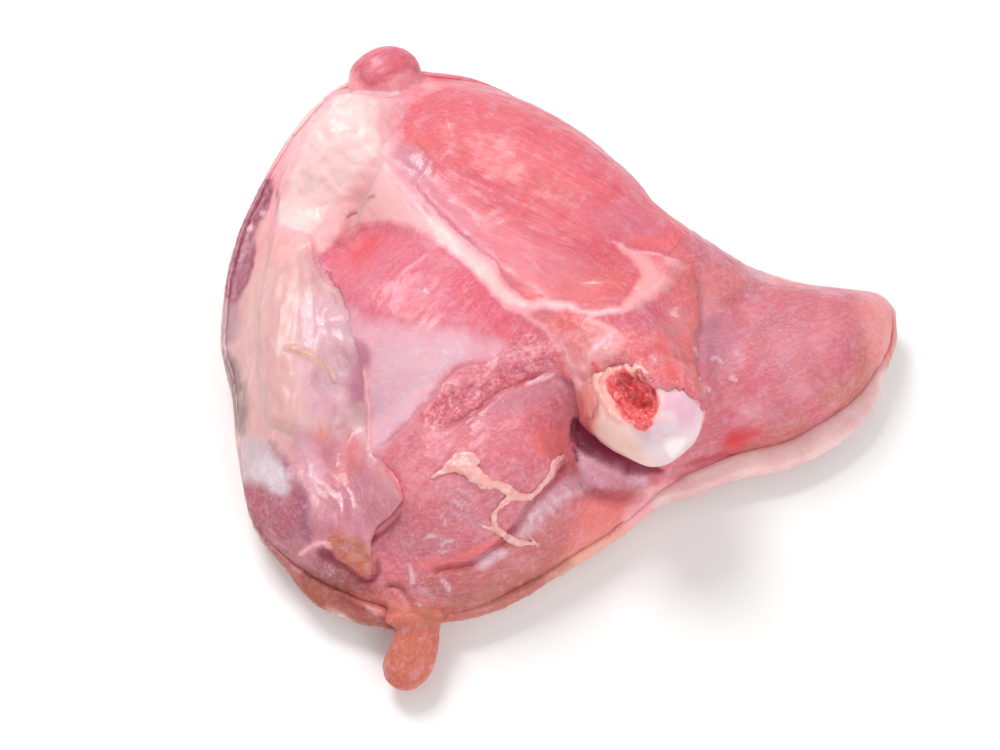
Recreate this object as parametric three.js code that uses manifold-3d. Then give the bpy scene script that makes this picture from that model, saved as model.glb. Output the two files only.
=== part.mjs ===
// A raw turkey thigh, bone in, lying on its skin with the cut side up.
// Millimetres, +Z up. X runs to the right, and Y away from the front edge with the loose scrap of meat.
// The thigh bone's hip end stands out of the meat right of the middle. Its knee end lies at the back left.
import * as THREE from "three";
import { mergeVertices } from "three/addons/utils/BufferGeometryUtils.js";
import Module from "manifold-3d";

const wasm = await Module();
wasm.setup();

// Driving dimensions
const CENTRE = [-10, 4]; // the rays of the flesh's ring grid start here
const BASE_MIDDLE = [0.9, 6.8]; // moved to the origin at the end
const TOP_EDGE = 15; // width of the rounded edge above the rim line
const UNDER_EDGE = 24; // width of the rounded edge under it
const UNDER_EDGE_SHARE = 0.28; // and at most this share of the way to the centre, so that the rest is flat
const FLESH_FLOOR = 15; // lowest flesh between the muscles
const CREASE_BLEND = 2.2; // how softly two muscles meet
const CREASE_REACH = 2; // the least width of a crease
const SKIN_THICK = 2.2;
const FASCIA_THICK = 1.5;
const GAP = 0.35; // between pieces that touch

// The ring grid: rays around the centre, and the share of the way to the rim of each ring.
const RAYS = 96;
const EVEN_SHARES = Array.from({ length: 17 }, (_, i) => 0.05 + 0.047 * i);
const TOP_SHARES = [...EVEN_SHARES, 0.85, 0.89, 0.92, 0.945, 0.966, 0.983, 0.994];
const UNDER_SHARES = [0.988, 0.95, 0.89, 0.81, 0.71, 0.6];
const FASCIA_FIRST_RING = 8;
const FASCIA_EDGE_STEPS = 90;

// The rim line, clockwise from the back left: where the upper side turns into the underside.
const RIM = [
  [-56, 92, 20], [-47, 94, 22], [-37, 92, 24], [-23, 89, 25], [-3, 77, 25], [11, 65, 24], [22, 54, 21],
  [28, 46, 17], [37, 40, 14], [50, 36, 12], [65, 31, 11], [78, 29, 11], [87, 27, 11], [89, 19, 10],
  [85, 8, 10], [79, -1, 9], [70, -9, 9], [58, -16, 9], [45, -20, 9], [34, -25, 9], [24, -32, 9],
  [18, -38, 9], [9, -45, 9], [-3, -53, 9], [-15, -60, 9], [-27, -64, 9], [-38, -65, 9], [-50, -61, 9],
  [-60, -57, 10], [-69, -50, 11], [-76, -40, 12], [-79, -29, 13], [-81, -18, 14], [-83, -3, 14],
  [-86.5, 11, 15], [-86.5, 25, 15], [-85, 38, 16], [-81, 52, 17], [-74.5, 68, 18], [-66, 83, 19],
];

// Muscle bellies: a mound with this half length and width, turned from +X. It drops by fall at its border.
const BELLIES = [
  { name: "outer thigh", at: [-1, 46], half: [56, 31], turn: -39, top: 44, fall: 16, round: 2.6 },
  { name: "middle", at: [-29, 8], half: [30, 27], turn: -35, top: 40, fall: 11, round: 2.8 },
  { name: "lower", at: [-20, -30], half: [29, 19], turn: 31, top: 36, fall: 12, round: 3.2 },
  { name: "wedge", at: [57, -2], half: [40, 26], turn: 31, top: 27, fall: 9, round: 2.6 },
  { name: "hip hump", at: [14, -4], half: [20, 15], turn: -50, top: 46.5, fall: 12, round: 3 },
  { name: "knee hump", at: [-55, 66], half: [22, 17], turn: 60, top: 35, fall: 12, round: 2.4 },
  { name: "side", at: [-66, 8], half: [48, 17], turn: 88, top: 29, fall: 11, round: 2.6 },
  { name: "low left", at: [-62, -44], half: [22, 15], turn: -60, top: 24, fall: 9, round: 2.4 },
];

// Long low muscles and seams: a ridge along points of x, y and height, with its half width and drop there.
const RIDGES = [
  { name: "bone seam", path: [[-46, 57, 36], [-31, 36, 38.5], [-14, 19, 40], [2, 4, 41.5]],
    half: 8, fall: 6 },
  { name: "rough strip", path: [[2, -5, 39], [-16, -12, 37], [-35, -23, 33], [-44, -30, 28]],
    half: 9, fall: 7 },
  { name: "front band", path: [[22, -32, 18], [9, -40, 23], [-4, -48, 25], [-18, -54, 23], [-36, -59, 18]],
    half: 10, fall: 9 },
  { name: "low band", path: [[-68, -46, 15], [-55, -58, 15], [-39, -62, 13]], half: 9, fall: 7 },
  { name: "wedge back", path: [[26, 33, 28], [42, 27, 25], [58, 19, 23], [74, 18, 21]], half: 12, fall: 8 },
  { name: "hip curtain", path: [[32, 24, 31], [32, 10, 35], [33, -4, 35], [35, -13, 31]], half: 6, fall: 8 },
];

// The pocket under the hip end of the bone.
const POCKET = { at: [11, -29], half: [16, 8], turn: -22, depth: 11 };

// The thigh bone, from the hip end to the knee end.
const BONE_PATH = [[30, -32, 32], [21, -21, 34], [10, -7, 33], [-5, 14, 30], [-28, 43, 26], [-45, 69, 21]];
// Place along the bone, half width and half height: hip knuckle, neck, shaft and knee knuckle.
const BONE_STATIONS = [
  [0, 4, 3], [0.012, 9, 6.5], [0.035, 13, 9.5], [0.07, 15.5, 11.8], [0.115, 15.5, 12.3], [0.16, 13, 11],
  [0.2, 10, 9], [0.26, 7.5, 7], [0.4, 6.5, 6.5], [0.6, 6.5, 6.5], [0.75, 7, 6.5], [0.83, 9, 7],
  [0.9, 11.5, 7.5], [0.95, 11.5, 7.5], [0.985, 8.5, 6], [1, 3, 2.5],
];
// The hollow in the knuckle's top, where the marrow shows.
const CRATER = { at: [17.5, -24, 46], radii: [8.5, 6, 5.5], turn: -52 };

// The scrap of meat at the front edge and the knob of meat at the back, both outside the rim line.
const TAB_PATH = [[-37, -50, 9], [-37, -61, 10.5], [-35, -71, 8.5], [-38, -79, 6.5], [-40, -84, 6]];
const TAB_STATIONS = [
  [0, 4, 3], [0.15, 7, 5], [0.4, 6.5, 4.5], [0.65, 6, 4], [0.85, 6.5, 4.2], [0.96, 4.5, 3], [1, 1.5, 1],
];
const KNOB = { at: [-46, 89, 26], radii: [10.5, 9, 8], turn: 20 };

// The skin's cut edge stands out past the rim a little, and by this much more at these places.
const LIP_LEAST = 0.5;
const LIP_DROOP = 0.2;
const LIP_PLACES = [
  { at: [64, -17], reach: 26, more: 5 },
  { at: [40, -27], reach: 14, more: 4 },
  { at: [-52, -62], reach: 15, more: 4 },
  { at: [-15, -64], reach: 16, more: 1.5 },
];

// The sheet of gristle and fat over the left side, in plan. It ends in a loose tongue at the front.
const FASCIA_OUTLINE = [
  [-43, 83], [-52, 84], [-60, 80], [-67, 74], [-73, 64], [-77, 54], [-78, 42], [-78, 28], [-79, 15],
  [-79, 2], [-77, -10], [-75, -20], [-68, -26], [-63, -36], [-59, -45], [-61, -51], [-54, -54],
  [-47, -55], [-47, -49], [-42, -47], [-38, -44], [-38, -41], [-42, -36], [-46, -31], [-48, -18],
  [-50, -3], [-54, 9], [-60, 28], [-52, 40], [-45, 52], [-42, 66], [-39, 75],
];
// It is thicker by this much at these places.
const FASCIA_LUMPS = [
  { at: [-56, 70], reach: 14, more: 1.2 },
  { at: [-66, 34], reach: 14, more: 0.8 },
  { at: [-45, -42], reach: 9, more: 1.8 },
];

// Strands of fat on the lower muscle: points of x, y and height, with the largest half width and half height.
const STRANDS = [
  { half: [3, 0.9], path: [[-28, -36, 36], [-24, -38.5, 36], [-19, -42, 34.5], [-13, -43.5, 31.5]] },
  { half: [1.5, 1.1], path: [
    [-20, -42, 34.5], [-15, -43, 32.5], [-10, -43, 29.8], [-6, -40, 29.2], [-3, -36, 29.4], [-1, -31, 26],
  ] },
  { half: [1, 0.9], path: [
    [-11, -43, 30], [-15, -46, 29.2], [-18, -49, 27], [-16, -50.5, 25], [-12, -52, 23.2], [-9, -52, 22.4],
  ] },
];
// Place along a strand and the share of its largest size there.
const STRAND_STATIONS = [[0, 0.35], [0.12, 0.9], [0.35, 1], [0.6, 0.9], [0.85, 1], [1, 0.35]];

const radians = THREE.MathUtils.degToRad;

// Distances and heights in plan

// The distance from the middle of a turned ellipse, which is 1 on its border.
function ellipseDistance(x, y, { at, half, turn }) {
  const [c, s] = [Math.cos(radians(turn)), Math.sin(radians(turn))];
  const [dx, dy] = [x - at[0], y - at[1]];
  return Math.hypot((dx * c + dy * s) / half[0], (dy * c - dx * s) / half[1]);
}

// The nearest place on a path: its distance in plan, and the path's height there.
function nearestOnPath(x, y, path) {
  let best = { distance: Infinity, height: 0 };
  for (let i = 0; i + 1 < path.length; i++) {
    const [a, b] = [path[i], path[i + 1]];
    const [ux, uy] = [b[0] - a[0], b[1] - a[1]];
    const t = THREE.MathUtils.clamp(((x - a[0]) * ux + (y - a[1]) * uy) / (ux * ux + uy * uy), 0, 1);
    const distance = Math.hypot(x - a[0] - ux * t, y - a[1] - uy * t);
    if (distance < best.distance) best = { distance, height: a[2] + (b[2] - a[2]) * t };
  }
  return best;
}

// A bump of height 1 at a place, down to nearly 0 at its reach. A higher power gives a flatter top.
function bump(point, { at, reach }, power) {
  return Math.exp(-((Math.hypot(point.x - at[0], point.y - at[1]) / reach) ** power));
}

// A quarter round: 0 at the rim, 1 from the given width inwards.
function quarterRound(distance, width) {
  return Math.sqrt(Math.max(0, 1 - (1 - Math.min(1, distance / width)) ** 2));
}

// The upper side: the highest muscle at a point, with soft creases where two are level.
function bellyHeight(x, y, belly) {
  return belly.top - belly.fall * ellipseDistance(x, y, belly) ** belly.round;
}

function ridgeHeight(x, y, { path, half, fall }) {
  const { distance, height } = nearestOnPath(x, y, path);
  return height - fall * (distance / half) ** 2;
}

function creasedHeight(x, y) {
  const heights = [
    FLESH_FLOOR,
    ...BELLIES.map((belly) => bellyHeight(x, y, belly)),
    ...RIDGES.map((ridge) => ridgeHeight(x, y, ridge)),
  ];
  const highest = Math.max(...heights);
  const sum = heights.reduce((total, z) => total + Math.exp((z - highest) / CREASE_BLEND), 0);
  const pocket = POCKET.depth * Math.exp(-(ellipseDistance(x, y, POCKET) ** 4));
  return highest + CREASE_BLEND * Math.log(sum) - pocket;
}

// The same, with no crease narrower than the grid can follow.
function fleshHeight(x, y) {
  const steps = [[0, 0], [CREASE_REACH, 0], [-CREASE_REACH, 0], [0, CREASE_REACH], [0, -CREASE_REACH]];
  return steps.reduce((sum, [dx, dy]) => sum + creasedHeight(x + dx, y + dy), 0) / steps.length;
}

// The ring grid

const rimPoints = new THREE.CatmullRomCurve3(RIM.map((p) => new THREE.Vector3(...p)), true, "centripetal")
  .getSpacedPoints(RAYS)
  .slice(0, RAYS);
const rimPath = [...rimPoints, rimPoints[0]].map((p) => p.toArray());

// A ring of the grid: share 0 is the centre and share 1 the rim.
function ring(share, height) {
  return rimPoints.map((rim) => {
    const x = CENTRE[0] + (rim.x - CENTRE[0]) * share;
    const y = CENTRE[1] + (rim.y - CENTRE[1]) * share;
    return new THREE.Vector3(x, y, height(x, y, rim));
  });
}

function upperHeight(x, y, rim) {
  const { distance } = nearestOnPath(x, y, rimPath);
  return rim.z + (fleshHeight(x, y) - rim.z) * quarterRound(distance, TOP_EDGE);
}

function underHeight(x, y, rim) {
  const reach = Math.hypot(rim.x - CENTRE[0], rim.y - CENTRE[1]);
  const inward = reach - Math.hypot(x - CENTRE[0], y - CENTRE[1]);
  const floor = SKIN_THICK + GAP;
  return rim.z + (floor - rim.z) * quarterRound(inward, Math.min(UNDER_EDGE, UNDER_EDGE_SHARE * reach));
}

const topRings = TOP_SHARES.map((share) => ring(share, upperHeight));
const rimRing = ring(1, (x, y, rim) => rim.z);
const underRings = UNDER_SHARES.map((share) => ring(share, underHeight));

// Rings moved out by a distance along the surface's normals.
function offsetRings(rings, distance) {
  return rings.map((points, i) =>
    points.map((point, j) => {
      const before = rings[Math.max(0, i - 1)][j];
      const after = rings[Math.min(rings.length - 1, i + 1)][j];
      const left = points[(j + RAYS - 1) % RAYS];
      const right = points[(j + 1) % RAYS];
      const inwards = new THREE.Vector3()
        .subVectors(after, before)
        .cross(new THREE.Vector3().subVectors(right, left))
        .normalize();
      return point.clone().addScaledVector(inwards, -distance);
    }),
  );
}

// Making solids

// A closed surface from rings of equal length, with each end closed by a fan.
function loft(rings) {
  const count = rings[0].length;
  const middle = (points) =>
    points.reduce((sum, p) => sum.add(p), new THREE.Vector3()).divideScalar(points.length);
  const points = [...rings.flat(), middle(rings[0]), middle(rings.at(-1))];
  const [first, last] = [points.length - 2, points.length - 1];
  const faces = [];
  for (let j = 0; j < count; j++) {
    const k = (j + 1) % count;
    faces.push([first, k, j]);
    for (let i = 0; i + 1 < rings.length; i++) {
      const [a, b, c, d] = [i * count + j, i * count + k, (i + 1) * count + k, (i + 1) * count + j];
      const shorter = points[a].distanceTo(points[c]) < points[b].distanceTo(points[d]);
      faces.push(...(shorter ? [[a, b, c], [a, c, d]] : [[a, b, d], [b, c, d]]));
    }
    faces.push([last, (rings.length - 1) * count + j, (rings.length - 1) * count + k]);
  }
  const geometry = new THREE.BufferGeometry();
  geometry.setAttribute("position", new THREE.Float32BufferAttribute(points.flatMap((p) => p.toArray()), 3));
  geometry.setIndex(faces.flat());
  return geometry;
}

// A round piece along a curve: each station has a place on it and the half width and half height there.
function limb(path, stations, sides) {
  const curve = new THREE.CatmullRomCurve3(path.map((p) => new THREE.Vector3(...p)));
  const up = new THREE.Vector3(0, 0, 1);
  return loft(
    stations.map(([place, halfWidth, halfHeight]) => {
      const middle = curve.getPointAt(place);
      const along = curve.getTangentAt(place);
      const across = new THREE.Vector3().crossVectors(up, along).normalize();
      const above = new THREE.Vector3().crossVectors(along, across);
      return Array.from({ length: sides }, (_, j) => {
        const angle = (2 * Math.PI * j) / sides;
        return middle
          .clone()
          .addScaledVector(across, Math.cos(angle) * halfWidth)
          .addScaledVector(above, Math.sin(angle) * halfHeight);
      });
    }),
  );
}

function ellipsoid({ at, radii, turn }) {
  const geometry = new THREE.SphereGeometry(1, 16, 8);
  geometry.scale(...radii);
  geometry.rotateZ(radians(turn));
  geometry.translate(...at);
  return geometry;
}

// A solid to join or cut, from a closed surface with its faces turned either way.
function toSolid(geometry) {
  const clean = geometry.clone();
  clean.deleteAttribute("normal");
  clean.deleteAttribute("uv");
  const merged = mergeVertices(clean, 1e-4);
  const triVerts = new Uint32Array(merged.index.array);
  const vertProperties = merged.attributes.position.array;
  const solid = new wasm.Manifold(new wasm.Mesh({ numProp: 3, vertProperties, triVerts }));
  if (solid.volume() > 0) return solid;
  merged.setIndex([...triVerts].reverse());
  return toSolid(merged);
}

function toGeometry(solid) {
  const { vertProperties, triVerts } = solid.getMesh();
  const geometry = new THREE.BufferGeometry();
  geometry.setAttribute("position", new THREE.Float32BufferAttribute(vertProperties, 3));
  geometry.setIndex(new THREE.Uint32BufferAttribute(triVerts, 1));
  geometry.computeVertexNormals();
  return geometry;
}

function largest(solid) {
  return solid.decompose().reduce((a, b) => (a.volume() > b.volume() ? a : b));
}

// The pieces, some of them grown by a clearance to cut what lies against them

function grown(stations, clearance) {
  return stations.map(([place, ...halves]) => [place, ...halves.map((half) => half + clearance)]);
}

function bone(clearance) {
  return toSolid(limb(BONE_PATH, grown(BONE_STATIONS, clearance), 20));
}

function tab(clearance) {
  return toSolid(limb(TAB_PATH, grown(TAB_STATIONS, clearance), 12));
}

function knob(clearance) {
  return toSolid(ellipsoid({ ...KNOB, radii: KNOB.radii.map((r) => r + clearance) }));
}

const meat = largest(
  toSolid(loft([...topRings, rimRing, ...underRings]))
    .add(tab(0))
    .add(knob(0))
    .subtract(bone(GAP)),
);

function femur() {
  return bone(0).subtract(toSolid(ellipsoid(CRATER)));
}

// A ring of the skin past the rim: share 0 is beside the rim and share 1 the skin's cut edge.
function lipRing(share, drop) {
  return rimPoints.map((rim, i) => {
    const left = rimPoints[(i + RAYS - 1) % RAYS];
    const right = rimPoints[(i + 1) % RAYS];
    const out = new THREE.Vector3(left.y - right.y, right.x - left.x, 0).normalize();
    const width = LIP_LEAST + Math.max(...LIP_PLACES.map((place) => place.more * bump(rim, place, 4)));
    const reach = GAP + width * share;
    return rim.clone().addScaledVector(out, reach).setZ(rim.z - LIP_DROOP * reach - drop);
  });
}

function skin() {
  const under = [rimRing, ...underRings];
  const inner = offsetRings(under, GAP).slice(1).reverse();
  const outer = offsetRings(under, GAP + SKIN_THICK).slice(1);
  const upperLip = [lipRing(0, 0), lipRing(0.5, 0), lipRing(1, 0.4)];
  const lowerLip = [lipRing(1, SKIN_THICK), lipRing(0.5, SKIN_THICK)];
  const sheet = toSolid(loft([...inner, ...upperLip, ...lowerLip, ...outer]));
  return largest(sheet.subtract(tab(GAP)).subtract(knob(GAP)));
}

// The fascia's upper side: straight up from the flesh, and outwards near the rim.
function fasciaTop(point, rim) {
  const thick = FASCIA_LUMPS.reduce((sum, lump) => sum + lump.more * bump(point, lump, 2), FASCIA_THICK);
  const rise = quarterRound(nearestOnPath(point.x, point.y, rimPath).distance, TOP_EDGE);
  const out = new THREE.Vector3(rim.x - CENTRE[0], rim.y - CENTRE[1], 0);
  const way = out.setLength(1 - rise).setZ(rise).normalize();
  return point.clone().addScaledVector(way, thick);
}

function fascia() {
  const lower = offsetRings(topRings.slice(FASCIA_FIRST_RING), GAP);
  const upper = lower.map((points) => points.map((point, j) => fasciaTop(point, rimPoints[j])));
  const curve = new THREE.CatmullRomCurve3(FASCIA_OUTLINE.map(([x, y]) => new THREE.Vector3(x, y, 0)), true);
  const outline = new THREE.Shape(curve.getSpacedPoints(FASCIA_EDGE_STEPS).slice(0, -1));
  const column = new THREE.ExtrudeGeometry(outline, { depth: 60, bevelEnabled: false });
  const sheet = toSolid(loft([...lower, ...upper.reverse()])).intersect(toSolid(column));
  return largest(sheet.subtract(tab(GAP)).subtract(knob(GAP)));
}

function fatStrand() {
  const pieces = STRANDS.map(({ path, half }) => {
    const stations = STRAND_STATIONS.map(([place, size]) => [place, half[0] * size, half[1] * size]);
    return toSolid(limb(path, stations, 8));
  });
  return largest(pieces.reduce((a, b) => a.add(b)).subtract(meat.translate([0, 0, GAP])));
}

const group = new THREE.Group();
function add(name, solid, color, roughness) {
  const look = new THREE.MeshStandardMaterial({ color, roughness, metalness: 0 });
  const mesh = new THREE.Mesh(toGeometry(solid), look);
  mesh.name = name;
  mesh.position.set(-BASE_MIDDLE[0], -BASE_MIDDLE[1], 0);
  group.add(mesh);
}

add("meat", meat, 0xde8b98, 0.35);
add("femur", femur(), 0xeadcd8, 0.3);
add("skin", skin(), 0xe8c6bc, 0.45);
add("fascia", fascia(), 0xecc6c6, 0.35);
add("fat_strand", fatStrand(), 0xe8b8b0, 0.35);

export default group;
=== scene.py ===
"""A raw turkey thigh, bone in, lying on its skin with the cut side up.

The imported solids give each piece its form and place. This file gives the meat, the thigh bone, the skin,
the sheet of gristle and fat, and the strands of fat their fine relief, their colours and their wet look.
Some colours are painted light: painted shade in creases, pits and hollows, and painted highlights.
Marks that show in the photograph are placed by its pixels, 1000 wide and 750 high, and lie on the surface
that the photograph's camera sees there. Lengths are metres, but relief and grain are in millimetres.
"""

import math

import bmesh
import bpy
import numpy as np
from mathutils import Matrix, Vector
from mathutils.bvhtree import BVHTree
from mathutils.kdtree import KDTree


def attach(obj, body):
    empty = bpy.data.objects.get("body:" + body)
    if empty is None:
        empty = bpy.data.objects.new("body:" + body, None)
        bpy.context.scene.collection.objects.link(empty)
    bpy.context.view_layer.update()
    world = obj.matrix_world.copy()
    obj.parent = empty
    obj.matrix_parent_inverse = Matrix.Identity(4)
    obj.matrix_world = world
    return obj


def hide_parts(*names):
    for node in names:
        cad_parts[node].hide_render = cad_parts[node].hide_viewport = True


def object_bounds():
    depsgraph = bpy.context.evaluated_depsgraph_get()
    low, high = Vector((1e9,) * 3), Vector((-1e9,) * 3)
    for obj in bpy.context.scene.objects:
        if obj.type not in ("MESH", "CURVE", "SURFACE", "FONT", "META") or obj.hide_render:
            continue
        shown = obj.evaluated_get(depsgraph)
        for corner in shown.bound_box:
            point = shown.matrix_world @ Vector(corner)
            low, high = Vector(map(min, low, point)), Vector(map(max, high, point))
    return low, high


bl_info = {
    "name": "Raw turkey thigh",
    "version": (1, 0, 0),
    "blender": (4, 5, 0),
    "location": "3D View > Sidebar > Thigh",
    "description": "Dresses the solids of a raw turkey thigh as wet meat, bone, skin and fat",
    "category": "Object",
}

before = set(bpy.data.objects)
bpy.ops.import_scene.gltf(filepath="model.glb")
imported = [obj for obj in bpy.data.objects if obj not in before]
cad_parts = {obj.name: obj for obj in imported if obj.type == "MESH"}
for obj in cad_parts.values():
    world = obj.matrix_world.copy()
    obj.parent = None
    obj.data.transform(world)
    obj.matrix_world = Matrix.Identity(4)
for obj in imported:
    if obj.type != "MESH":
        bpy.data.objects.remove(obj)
CAD_BOX = [list(corner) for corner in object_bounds()]

MM = 0.001

# The photograph's camera
PHOTO_WIDE, PHOTO_HIGH = 1000, 750
SENSOR = 36
LENS = 100
CAMERA_RISE = math.radians(58)
CAMERA_DISTANCE = 0.7222
CAMERA_AIM = Vector((-0.01585, -0.0042, 0.012))
SIGHT = Vector((0, math.cos(CAMERA_RISE), -math.sin(CAMERA_RISE)))
IMAGE_UP = Vector((0, math.sin(CAMERA_RISE), math.cos(CAMERA_RISE)))
EYE = CAMERA_AIM - SIGHT * CAMERA_DISTANCE
FOCUS = PHOTO_WIDE * LENS / SENSOR
PIXEL = 0.26  # millimetres that a pixel covers at the thigh

# The lights: where each stands and the side of its square
KEY_LIGHT = (-0.35, 0.55, 0.85), 0.45
FILL_LIGHT = (0.5, -0.7, 0.6), 0.8

# How the fine meshes are made
MERGE_GAP = 0.01 * MM
SMOOTHING = 0.5
UNSHRINKING = -0.52
REFIT_ROUNDS = 40
PLUG_HALF = 4.5 * MM  # half width of the marrow that fills the hollow

# How marks and grain lie on them
WOBBLE_SIZE = 4.5
FACING_NONE = -0.25
FACING_FULL = 0.1
PLAIN_GRAIN = 0.2, 0.2, 1
FIBRE_STRETCH = 0.1
PORE_WANDER = 1.3
PORE_SIZE = 0.24  # the share of the spacing that a pore's bump takes up

# How the skin's rim meets the flesh
TOWARDS_FLESH = 0.3
SNUG_ROUNDS = 16
SNUG_NONE = 0.02
SNUG_FULL = 0.1

# How the sheet's edges run out into the flesh
FREE_EDGE = 12  # pixels beside the free edge of the tongue that don't sink
SINK_TOP = 0.5 * MM
SINK_UNDER = 1.3 * MM
SINK_ROUNDS = 12

# Outlines and paths in the photograph's pixels. The muscles first.
OUTER_THIGH = [
    (418, 74), (440, 60), (470, 66), (560, 105), (640, 160), (672, 205), (690, 232), (668, 262), (655, 285),
    (613, 304), (561, 299), (529, 300), (510, 290), (492, 262), (462, 236), (433, 209), (414, 184),
    (433, 168), (418, 147), (398, 136), (391, 122), (396, 104), (410, 90),
]
OUTER_BACK = [(440, 66), (500, 86), (560, 108), (610, 145), (648, 182), (664, 212)]
OUTER_RED = [(440, 128), (500, 138), (560, 160), (585, 190), (560, 200), (500, 178), (450, 160)]
OUTER_RED_LOW = [(492, 188), (540, 202), (585, 226), (600, 244), (560, 236), (515, 214)]
OUTER_OLIVE = [(538, 184), (560, 180), (578, 190), (568, 202), (544, 198)]
OUTER_ORANGE = [(404, 130), (422, 130), (440, 150), (436, 164), (418, 152), (406, 142)]
OUTER_MAUVE = [(590, 222), (612, 206), (640, 204), (662, 226), (650, 244), (616, 240)]
KNEE_PALE = [
    (378, 84), (402, 70), (426, 72), (442, 84), (426, 98), (411, 110), (404, 126), (398, 140), (384, 138),
    (380, 110),
]
OUTER_PALE = [
    (500, 224), (530, 234), (558, 244), (584, 262), (600, 280), (576, 290), (552, 284), (524, 262),
]
FACET_SHADE = [(426, 180), (441, 203), (464, 231), (486, 255), (504, 275), (518, 293)]
OUTER_FACET = [
    (414, 182), (433, 175), (462, 182), (474, 193), (485, 219), (512, 240), (540, 262), (556, 292),
    (529, 299), (504, 278), (492, 261), (462, 236), (433, 209),
]
FACET_DARK = [(420, 188), (446, 196), (466, 212), (474, 236), (456, 228), (434, 208)]
FACET_RED = [(502, 272), (520, 270), (538, 284), (548, 298), (526, 299), (512, 290)]
LAVENDER_START = [
    (381, 140), (408, 146), (433, 158), (427, 173), (433, 182), (418, 186), (406, 175), (387, 156),
]
MIDDLE_MUSCLE = [
    (315, 250), (330, 238), (352, 228), (384, 222), (418, 229), (447, 248), (469, 268), (487, 286),
    (504, 305), (538, 322), (547, 335), (512, 339), (496, 362), (467, 366), (437, 392), (414, 416),
    (392, 437), (371, 448), (362, 400), (351, 335), (336, 292),
]
MIDDLE_DEEP = [(458, 268), (484, 290), (506, 316), (500, 334), (474, 318), (454, 292)]
MIDDLE_LINE = [(434, 252), (412, 266), (399, 279), (392, 302), (396, 322)]
SILVER_SKIN = [
    (345, 306), (372, 318), (400, 322), (440, 326), (478, 332), (505, 345), (496, 362), (471, 364),
    (446, 376), (431, 396), (414, 416), (392, 437), (371, 448), (362, 400), (350, 345),
]
SILVER_HEART = [
    (368, 385), (384, 362), (412, 350), (446, 346), (458, 356), (440, 372), (424, 396), (404, 418),
    (374, 446),
]
SILVER_EDGE = [(371, 449), (392, 437), (414, 416), (431, 396), (446, 376), (471, 364), (496, 361)]
ROUGH_STRIP = [
    (421, 414), (437, 392), (467, 366), (496, 362), (512, 339), (547, 335), (562, 348), (556, 362),
    (539, 371), (521, 385), (496, 396), (467, 414), (440, 430), (428, 423),
]
ROUGH_RED = [(436, 404), (460, 380), (490, 370), (520, 350), (546, 346), (540, 360), (500, 380), (462, 402)]
LOWER_MUSCLE = [
    (371, 450), (392, 438), (414, 418), (428, 425), (440, 432), (467, 416), (496, 398), (521, 387),
    (541, 373), (560, 368), (574, 400), (572, 445), (562, 455), (567, 462), (556, 478), (540, 496),
    (530, 505), (521, 523), (505, 541), (489, 555), (471, 564), (449, 567), (410, 578), (370, 577),
    (372, 556), (400, 512), (390, 478),
]
LOWER_LAVENDER = [(478, 410), (500, 394), (530, 388), (558, 376), (568, 388), (540, 400), (504, 412)]
LOWER_SALMON = [(530, 436), (552, 424), (574, 436), (570, 452), (548, 458), (532, 450)]
# Wet patches where painted highlights, glint specks, gather.
WET_GLINT_PATCHES = [
    [(384, 534), (410, 526), (440, 530), (458, 542), (440, 554), (404, 552)],
    [(404, 560), (420, 558), (430, 580), (450, 586), (440, 600), (414, 592)],
    [(462, 412), (500, 402), (534, 392), (536, 404), (500, 418), (468, 430)],
    [(434, 484), (452, 480), (478, 500), (474, 520), (450, 520), (438, 504)],
    [(318, 556), (336, 564), (340, 584), (324, 584)],
    [(332, 408), (346, 410), (350, 428), (336, 432)],
    [(330, 488), (352, 490), (356, 512), (334, 512)],
    [(744, 270), (766, 274), (770, 296), (748, 296)],
    [(752, 318), (800, 314), (814, 350), (790, 388), (760, 360)],
    [(404, 146), (430, 158), (428, 176), (408, 168)],
    [(598, 350), (618, 344), (628, 360), (606, 362)],
]
FRONT_BAND = [
    (330, 600), (370, 577), (410, 578), (449, 567), (471, 564), (489, 555), (505, 541), (521, 523),
    (530, 505), (556, 478), (575, 458), (592, 462), (640, 480), (680, 492), (650, 530), (580, 566),
    (500, 606), (440, 640), (420, 612), (380, 618),
]
FRONT_ROLL = [
    (412, 568), (428, 558), (453, 554), (470, 547), (493, 535), (504, 530), (507, 538), (496, 548),
    (476, 559), (454, 568), (436, 573),
]
# Silver skin with painted sheen.
FRONT_SILVER = [
    (510, 536), (524, 508), (544, 492), (560, 478), (590, 474), (592, 488), (572, 500), (548, 516),
    (530, 536),
]
# Wrinkles in relief with painted highlights along them.
FRONT_WRINKLE_GLINTS = [
    [(524, 508), (530, 520), (533, 532)],
    [(531, 503), (539, 514), (543, 525)],
    [(540, 498), (549, 507), (553, 517)],
    [(549, 492), (558, 500), (562, 508)],
    [(560, 487), (568, 492), (574, 497)],
    [(470, 562), (480, 558), (488, 560)],
    [(486, 556), (494, 558), (502, 553)],
    [(452, 488), (462, 491), (470, 500)],
    [(446, 498), (456, 503), (464, 511)],
    [(448, 512), (458, 516), (466, 524)],
    [(436, 508), (444, 518), (448, 530)],
    [(420, 540), (430, 536), (440, 538)],
    [(434, 548), (442, 552), (450, 550)],
]
# Painted highlights: glint spots on the wet film.
WET_GLINT_SPOTS = [(712, 358, 3), (731, 377, 3), (708, 389, 3.5), (697, 351, 3), (339, 421, 4)]
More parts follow.
